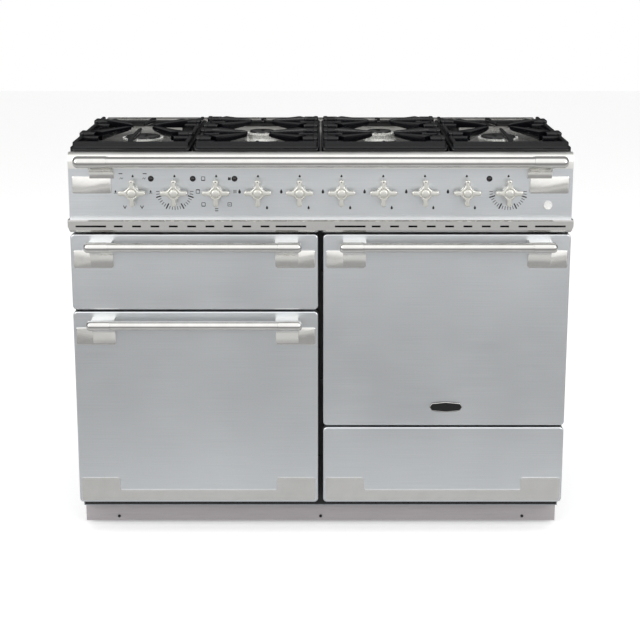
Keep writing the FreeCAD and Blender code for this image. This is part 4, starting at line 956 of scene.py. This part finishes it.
@dataclass
class PanelMarkings:
    """Printed dial marks on the control panel: dots, flames, heat ticks and function squares."""

    panel_depth: float = 4.0
    axis_z: float = 793.0
    pitch: float = 90.0
    ink: float = 0.12
    shape: Shape = field(default_factory=Shape)

    def patch(self, points: Array) -> None:
        """Append one printed area given by points in X and Z."""
        depth = FACE_Y + self.panel_depth
        rings = [facing_front(points, np.full(len(points), d))
                 for d in (depth - self.ink, depth + 0.02)]
        self.shape.add_rings(np.stack(rings))

    def stroke(self, start: Pair, end: Pair, width: float) -> None:
        """Append a straight printed line."""
        a, b = np.array(start), np.array(end)
        along = (b - a) / np.linalg.norm(b - a)
        side = np.array([-along[1], along[0]]) * width / 2
        self.patch(np.array([a - side, b - side, b + side, a + side]))

    def rule(self, x: float, z: float, half: float, width: float) -> None:
        """Append a level printed line about its middle."""
        self.stroke((x - half, z), (x + half, z), width)

    def drop(self, x: float, z: float, width: float, height: float) -> None:
        """Append a flame: a round foot that rises to a point."""
        t = np.linspace(0, 2 * np.pi, 17)[:-1]
        across = np.sin(t) * np.sin(t / 2) ** 1.2 * width / 1.5
        self.patch(np.stack([x - across, z + np.cos(t) * height / 2], axis=-1)[::-1])

    def square(self, x: float, z: float, size: float, line: float = 1.2) -> None:
        """Append an open square."""
        h = size / 2
        corners = [(x - h, z - h), (x + h, z - h), (x + h, z + h), (x - h, z + h)]
        for start, end in zip(corners, corners[1:] + corners[:1]):
            self.stroke(start, end, line)

    def heat_scale(self, x: float) -> None:
        """Append the ticks below a thermostat knob."""
        for i in range(21):
            turn = -math.pi * i / 20
            bold = i in (2, 7, 13, 18)
            inner, outer = (29.5, 42.5) if bold else (33.0, 40.5)
            c, s = math.cos(turn), math.sin(turn)
            self.stroke((x + inner * c, self.axis_z + inner * s),
                        (x + outer * c, self.axis_z + outer * s), 2.7 if bold else 1.3)

    def functions(self, x: float) -> None:
        """Append the seven oven function marks round a knob."""
        reach, size = 40.0, 7.6
        turns = [math.radians(a) for a in (135, 180, 225, 270, 315, 0, 45)]
        places = [(x + reach * math.cos(a), self.axis_z + reach * math.sin(a)) for a in turns]
        for i in (0, 1, 2, 4):
            self.square(*places[i], size)
        h = size / 2
        rules = ((0, -h, h, 2.0), (1, h, h, 2.0), (2, -h, h, 1.8), (3, 2.2, 3.6, 1.6),
                 (3, -2.4, 3.6, 1.6), (4, 0.0, 1.6, 1.0), (5, -2.6, 3.8, 1.0), (5, 0.0, 3.8, 1.0),
                 (5, 2.6, 3.8, 1.0))
        for i, rise, half, width in rules:
            self.rule(places[i][0], places[i][1] + rise, half, width)
        for turn in range(4):
            a = math.radians(45 + 90 * turn)
            self.drop(places[6][0] + 2.1 * math.cos(a), places[6][1] + 2.1 * math.sin(a), 3.6, 4.4)

    def grill_marks(self, x: float) -> None:
        """Append the marks round the grill knob."""
        z = self.axis_z
        for side in (-1, 1):
            self.rule(x + side * 26, z + 39, 4.2, 1.8)
            for i in range(3):
                left = x + side * 24.5 - 3.6 + i * 2.4
                self.stroke((left, z + (30.5 if i % 2 else 27.0)),
                            (left + 2.4, z + (27.0 if i % 2 else 30.5)), 0.9)
            self.rule(x + side * 38, z - 3.6, 3.6, 1.0)
            self.drop(x + side * 38, z + 0.4, 3.8, 5.6)
            for lean in (-3.2, 3.2):
                self.stroke((x + side * 18.5, z - 37.5), (x + side * 18.5 + lean, z - 31), 1.6)

    def build(self) -> None:
        """Print the marks of all ten knobs."""
        for i in range(10):
            x = (i - 4.5) * self.pitch
            self.drop(x, self.axis_z + 34.0, 4.8, 6.0)
            if i in (1, 9):
                self.heat_scale(x)
            elif i == 2:
                self.functions(x)
            elif i == 0:
                self.grill_marks(x)
            else:
                self.drop(x - 40.0, self.axis_z + 0.5, 5.8, 10.0)
                self.drop(x + 19.0, self.axis_z - 35.0, 5.0, 8.2)
        dress(self.shape.make("panel_dial_markings", 20), PRINT_INK, "root")


@dataclass
class PanelFittings:
    """Indicator lamps and the ignition button."""

    light_places: tuple[float, ...] = (-366.0, -275.5, -185.6, 364.0)
    light_z: float = 821.0
    panel_depth: float = 4.0

    def build(self) -> None:
        """Make the bezels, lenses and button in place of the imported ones."""
        bezels, lenses = Shape(), Shape()
        for x in self.light_places:
            at = (x, FACE_Y + self.panel_depth, self.light_z)
            bezel = [(1.0, 6.2), (0.0, 6.4), (-1.1, 6.2), (-1.7, 5.5), (-1.5, 4.6), (-0.6, 4.2),
                     (1.0, 4.2)]
            bezels.turn(bezel, Axis.Y, at, 36)
            lens = [(14.0, 4.1), (-0.5, 4.1), (-1.1, 3.6), (-1.5, 2.4), (-1.7, 0.6)]
            lenses.turn(lens, Axis.Y, at, 30)
        replace_node("indicator_lights", bezels.make("indicator_bezels", 40), PRINT_INK, "root")
        dress(lenses.make("indicator_lenses", 40), DARK_LENS, "root")
        low, high = packed_box("push_button")
        middle = ((low[0] + high[0]) / 2, low[1], (low[2] + high[2]) / 2)
        r = (high[0] - low[0]) / 2
        cap = [(0.9, 0.6), (0.8, r * 0.5), (0.3, r - 2.6), (0.0, r - 1.8), (0.2, r - 0.7),
               (1.0, r - 0.1), (2.0, r), (8.0, r), (8.0, 5.0), (high[1] - low[1], 5.0)]
        button = Shape()
        button.turn(cap, Axis.Y, middle, 40)
        replace_node("push_button", button.make("ignition_button_cap", 40), WHITE_MOULDING,
                     "push_button")


@dataclass
class BadgeRim:
    """Bright raised rim round the bare badge on the right oven door."""

    rim: float = 1.7
    proud: float = 0.9
    shoulder: float = 0.86
    shoulder_rise: float = 0.72

    def build(self) -> None:
        """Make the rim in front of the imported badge."""
        low, high = packed_box("right_oven_door_badge")
        half, rise = (high[0] - low[0]) / 2, (high[2] - low[2]) / 2
        s, e = half * self.shoulder, rise * self.shoulder_rise
        corners = [(half, 0.0), (s, e), (0.0, rise), (-s, e), (-half, 0.0), (-s, -e), (0.0, -rise),
                   (s, -e)]
        outline = fillet_corners(corners, [3.0, 4.0, 60.0, 4.0] * 2)
        outline = outline + ((low[0] + high[0]) / 2, (low[2] + high[2]) / 2)
        profile = ((0.0, 0.6), (0.0, -0.5), (0.4, -self.proud), (self.rim - 0.4, -self.proud),
                   (self.rim, -0.4), (self.rim, 0.6))
        rings = [facing_front(offset_outline(outline, inset), np.full(len(outline), low[1] + depth))
                 for inset, depth in profile]
        shape = Shape()
        shape.add_rings(np.stack(rings, axis=1), loop=True)
        dress(shape.make("badge_rim", 50), POLISHED_STEEL, "right_oven_door")


# ---- studio ----

@dataclass
class Studio:
    """White floor, soft lamps and the camera of the photograph."""

    door_face: float
    camera_distance: float = 3.0
    camera_height: float = 1.337
    pitch_deg: float = 12.1
    focal_px: float = 1413.0
    frame_px: float = 640.0
    shift: float = -0.13
    centre_px: float = 320.6
    overhead_watts: float = 42.0
    front_watts: float = 38.0

    def make_camera(self) -> None:
        """Level-headed camera in front of the cooker, looking down a little."""
        data = bpy.data.cameras.new("camera")
        data.sensor_width = 36.0
        data.lens = data.sensor_width * self.focal_px / self.frame_px
        data.shift_y = self.shift
        data.shift_x = (self.frame_px / 2 - self.centre_px) / self.frame_px
        camera = bpy.data.objects.new("camera", data)
        camera.location = (0.0, self.door_face - self.camera_distance, self.camera_height)
        camera.rotation_euler = (math.radians(90 - self.pitch_deg), 0.0, 0.0)
        bpy.context.scene.collection.objects.link(camera)
        bpy.context.scene.camera = camera

    def make_lamp(self, name: str, at: Place, aim: Place,
                  size: Pair, watts: float, mirrored: bool = True) -> None:
        """Large soft box that points at a place; unless mirrored it shows no glare."""
        data = bpy.data.lights.new(name, "AREA")
        data.shape = "RECTANGLE"
        data.size, data.size_y = size
        data.energy = watts
        lamp = bpy.data.objects.new(name, data)
        lamp.visible_glossy = mirrored
        lamp.location = at
        direction = Vector(aim) - Vector(at)
        lamp.rotation_euler = direction.to_track_quat("-Z", "Y").to_euler()
        bpy.context.scene.collection.objects.link(lamp)

    def make_world(self) -> None:
        """White to the camera; to light and gloss, a white room with a grey band at eye level."""
        world = bpy.data.worlds.new("studio_world")
        bpy.context.scene.world = world
        world.use_nodes = True
        tree = world.node_tree
        background = tree.nodes["Background"]
        way = add_node(tree, "SeparateXYZ", Vector=add_node(tree, "TexCoord").outputs["Generated"])
        half = add_node(tree, "MapRange", i0=way.outputs["Z"], i1=-1.0, i2=1.0)
        room = ramp(tree, half.outputs["Result"],
                    ((0.40, "#c9c9c9"), (0.49, "#dcdcdc"), (0.56, "#f6f6f6"), (0.75, "#ffffff")))
        rearward = add_node(tree, "MapRange", {"interpolation_type": "SMOOTHSTEP"},
                            i0=way.outputs["Y"], i1=-0.32, i2=-0.05)
        wall = ramp(tree, half.outputs["Result"],
                    ((0.56, "#2e2e2e"), (0.67, "#646464"), (0.85, "#888888")))
        glossy = add_node(tree, "MixRGB", Fac=rearward.outputs["Result"], Color1=room, Color2=wall)
        rays = add_node(tree, "LightPath")
        lit = add_node(tree, "MixRGB", Fac=rays.outputs["Is Glossy Ray"], Color1=room,
                       Color2=glossy.outputs["Color"])
        shown = add_node(tree, "MixRGB", Fac=rays.outputs["Is Camera Ray"],
                         Color1=lit.outputs["Color"], Color2=(1.0, 1.0, 1.0, 1.0))
        tree.links.new(shown.outputs["Color"], background.inputs["Color"])
        fill = add_node(tree, "MapRange", i0=rays.outputs["Is Diffuse Ray"], i3=1.0, i4=0.55)
        gleam = add_node(tree, "MapRange", i0=rays.outputs["Is Glossy Ray"], i3=1.0, i4=1.4)
        power = add_node(tree, "Math", {"operation": "MULTIPLY"}, i0=fill.outputs["Result"],
                         i1=gleam.outputs["Result"])
        tree.links.new(power.outputs["Value"], background.inputs["Strength"])

    def make_floor(self) -> None:
        """Pale floor that shows white to the camera and keeps the cooker's shadow; to glossy rays
        it shows a painted reflection, greyer, with a darker band ahead of the doors.
        """
        side = 9.0
        corners = np.array([(-side, -side, 0), (side, -side, 0), (side, side, 0), (-side, side, 0)])
        floor = mesh_object("floor", corners, [(0, 1, 2, 3)])
        material = bpy.data.materials.new("painted_studio_floor")
        material.use_nodes = True
        tree = material.node_tree
        shader = tree.nodes["Principled BSDF"]
        shader.inputs["Roughness"].default_value = 0.9
        shader.inputs["Emission Color"].default_value = (1.0, 1.0, 1.0, 1.0)
        rays = add_node(tree, "LightPath")
        place = add_node(tree, "TexCoord").outputs["Object"]
        depth = add_node(tree, "SeparateXYZ", Vector=place).outputs["Y"]
        ahead = add_node(tree, "MapRange", i0=depth, i1=self.door_face, i2=self.door_face - 4.0)
        # Painted reflection: glossy rays see the floor grey, darkest from about 0.8 to 2.5 m in
        # front of the doors, which draws dark bands in the bars and doors.
        mirrored = ramp(tree, ahead.outputs["Result"],
                        ((0.0, "#cccccc"), (0.11, "#c2c2c2"), (0.19, "#949494"), (0.40, "#8c8c8c"),
                         (0.62, "#9c9c9c"), (0.90, "#e2e2e2")))
        seen = add_node(tree, "MixRGB", Fac=rays.outputs["Is Glossy Ray"], Color1=linear("#f2f2f2"),
                        Color2=mirrored)
        tree.links.new(seen.outputs["Color"], shader.inputs["Base Color"])
        glow = add_node(tree, "MapRange", i0=rays.outputs["Is Camera Ray"], i4=0.42)
        tree.links.new(glow.outputs["Result"], shader.inputs["Emission Strength"])
        floor.data.materials.append(material)

    def build(self) -> None:
        """Set up the whole studio and the plain colour transform."""
        self.make_camera()
        self.make_world()
        self.make_floor()
        self.make_lamp("overhead_softbox", (0.0, -0.6, 3.2), (0.0, 0.0, 0.4), (3.2, 2.2),
                       self.overhead_watts, mirrored=False)
        for name, x in (("front_left_softbox", -2.6), ("front_right_softbox", 2.6)):
            self.make_lamp(name, (x, -3.0, 2.2), (0.0, 0.0, 0.45), (1.6, 1.6), self.front_watts)
        bpy.context.scene.view_settings.view_transform = "Standard"
        log.info("studio is set")


# ---- the scene ----


def main() -> None:
    """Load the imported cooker, add what the photograph shows and set the studio."""
    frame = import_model()
    dress_packed(frame["nodes"])
    for body in ("grill_door", "left_oven_door", "right_oven_door"):
        DoorHandle(body).build()
    Handrail().build()
    for number in range(1, 11):
        Knob(number).build()
    for number, burners, spread in ((1, BURNERS[:1], 105.0), (2, BURNERS[1:3], 62.0),
                                    (3, BURNERS[3:5], 62.0), (4, BURNERS[5:], 105.0)):
        PanSupport(number, burners, spread).build()
    BurnerSet().build()
    RolledEdge().build()
    PanelMarkings().build()
    PanelFittings().build()
    BadgeRim().build()
    Studio(door_face=FACE_Y * MM).build()


if __name__ == "__main__":
    logging.basicConfig(level=logging.INFO, stream=sys.stdout)
    main()
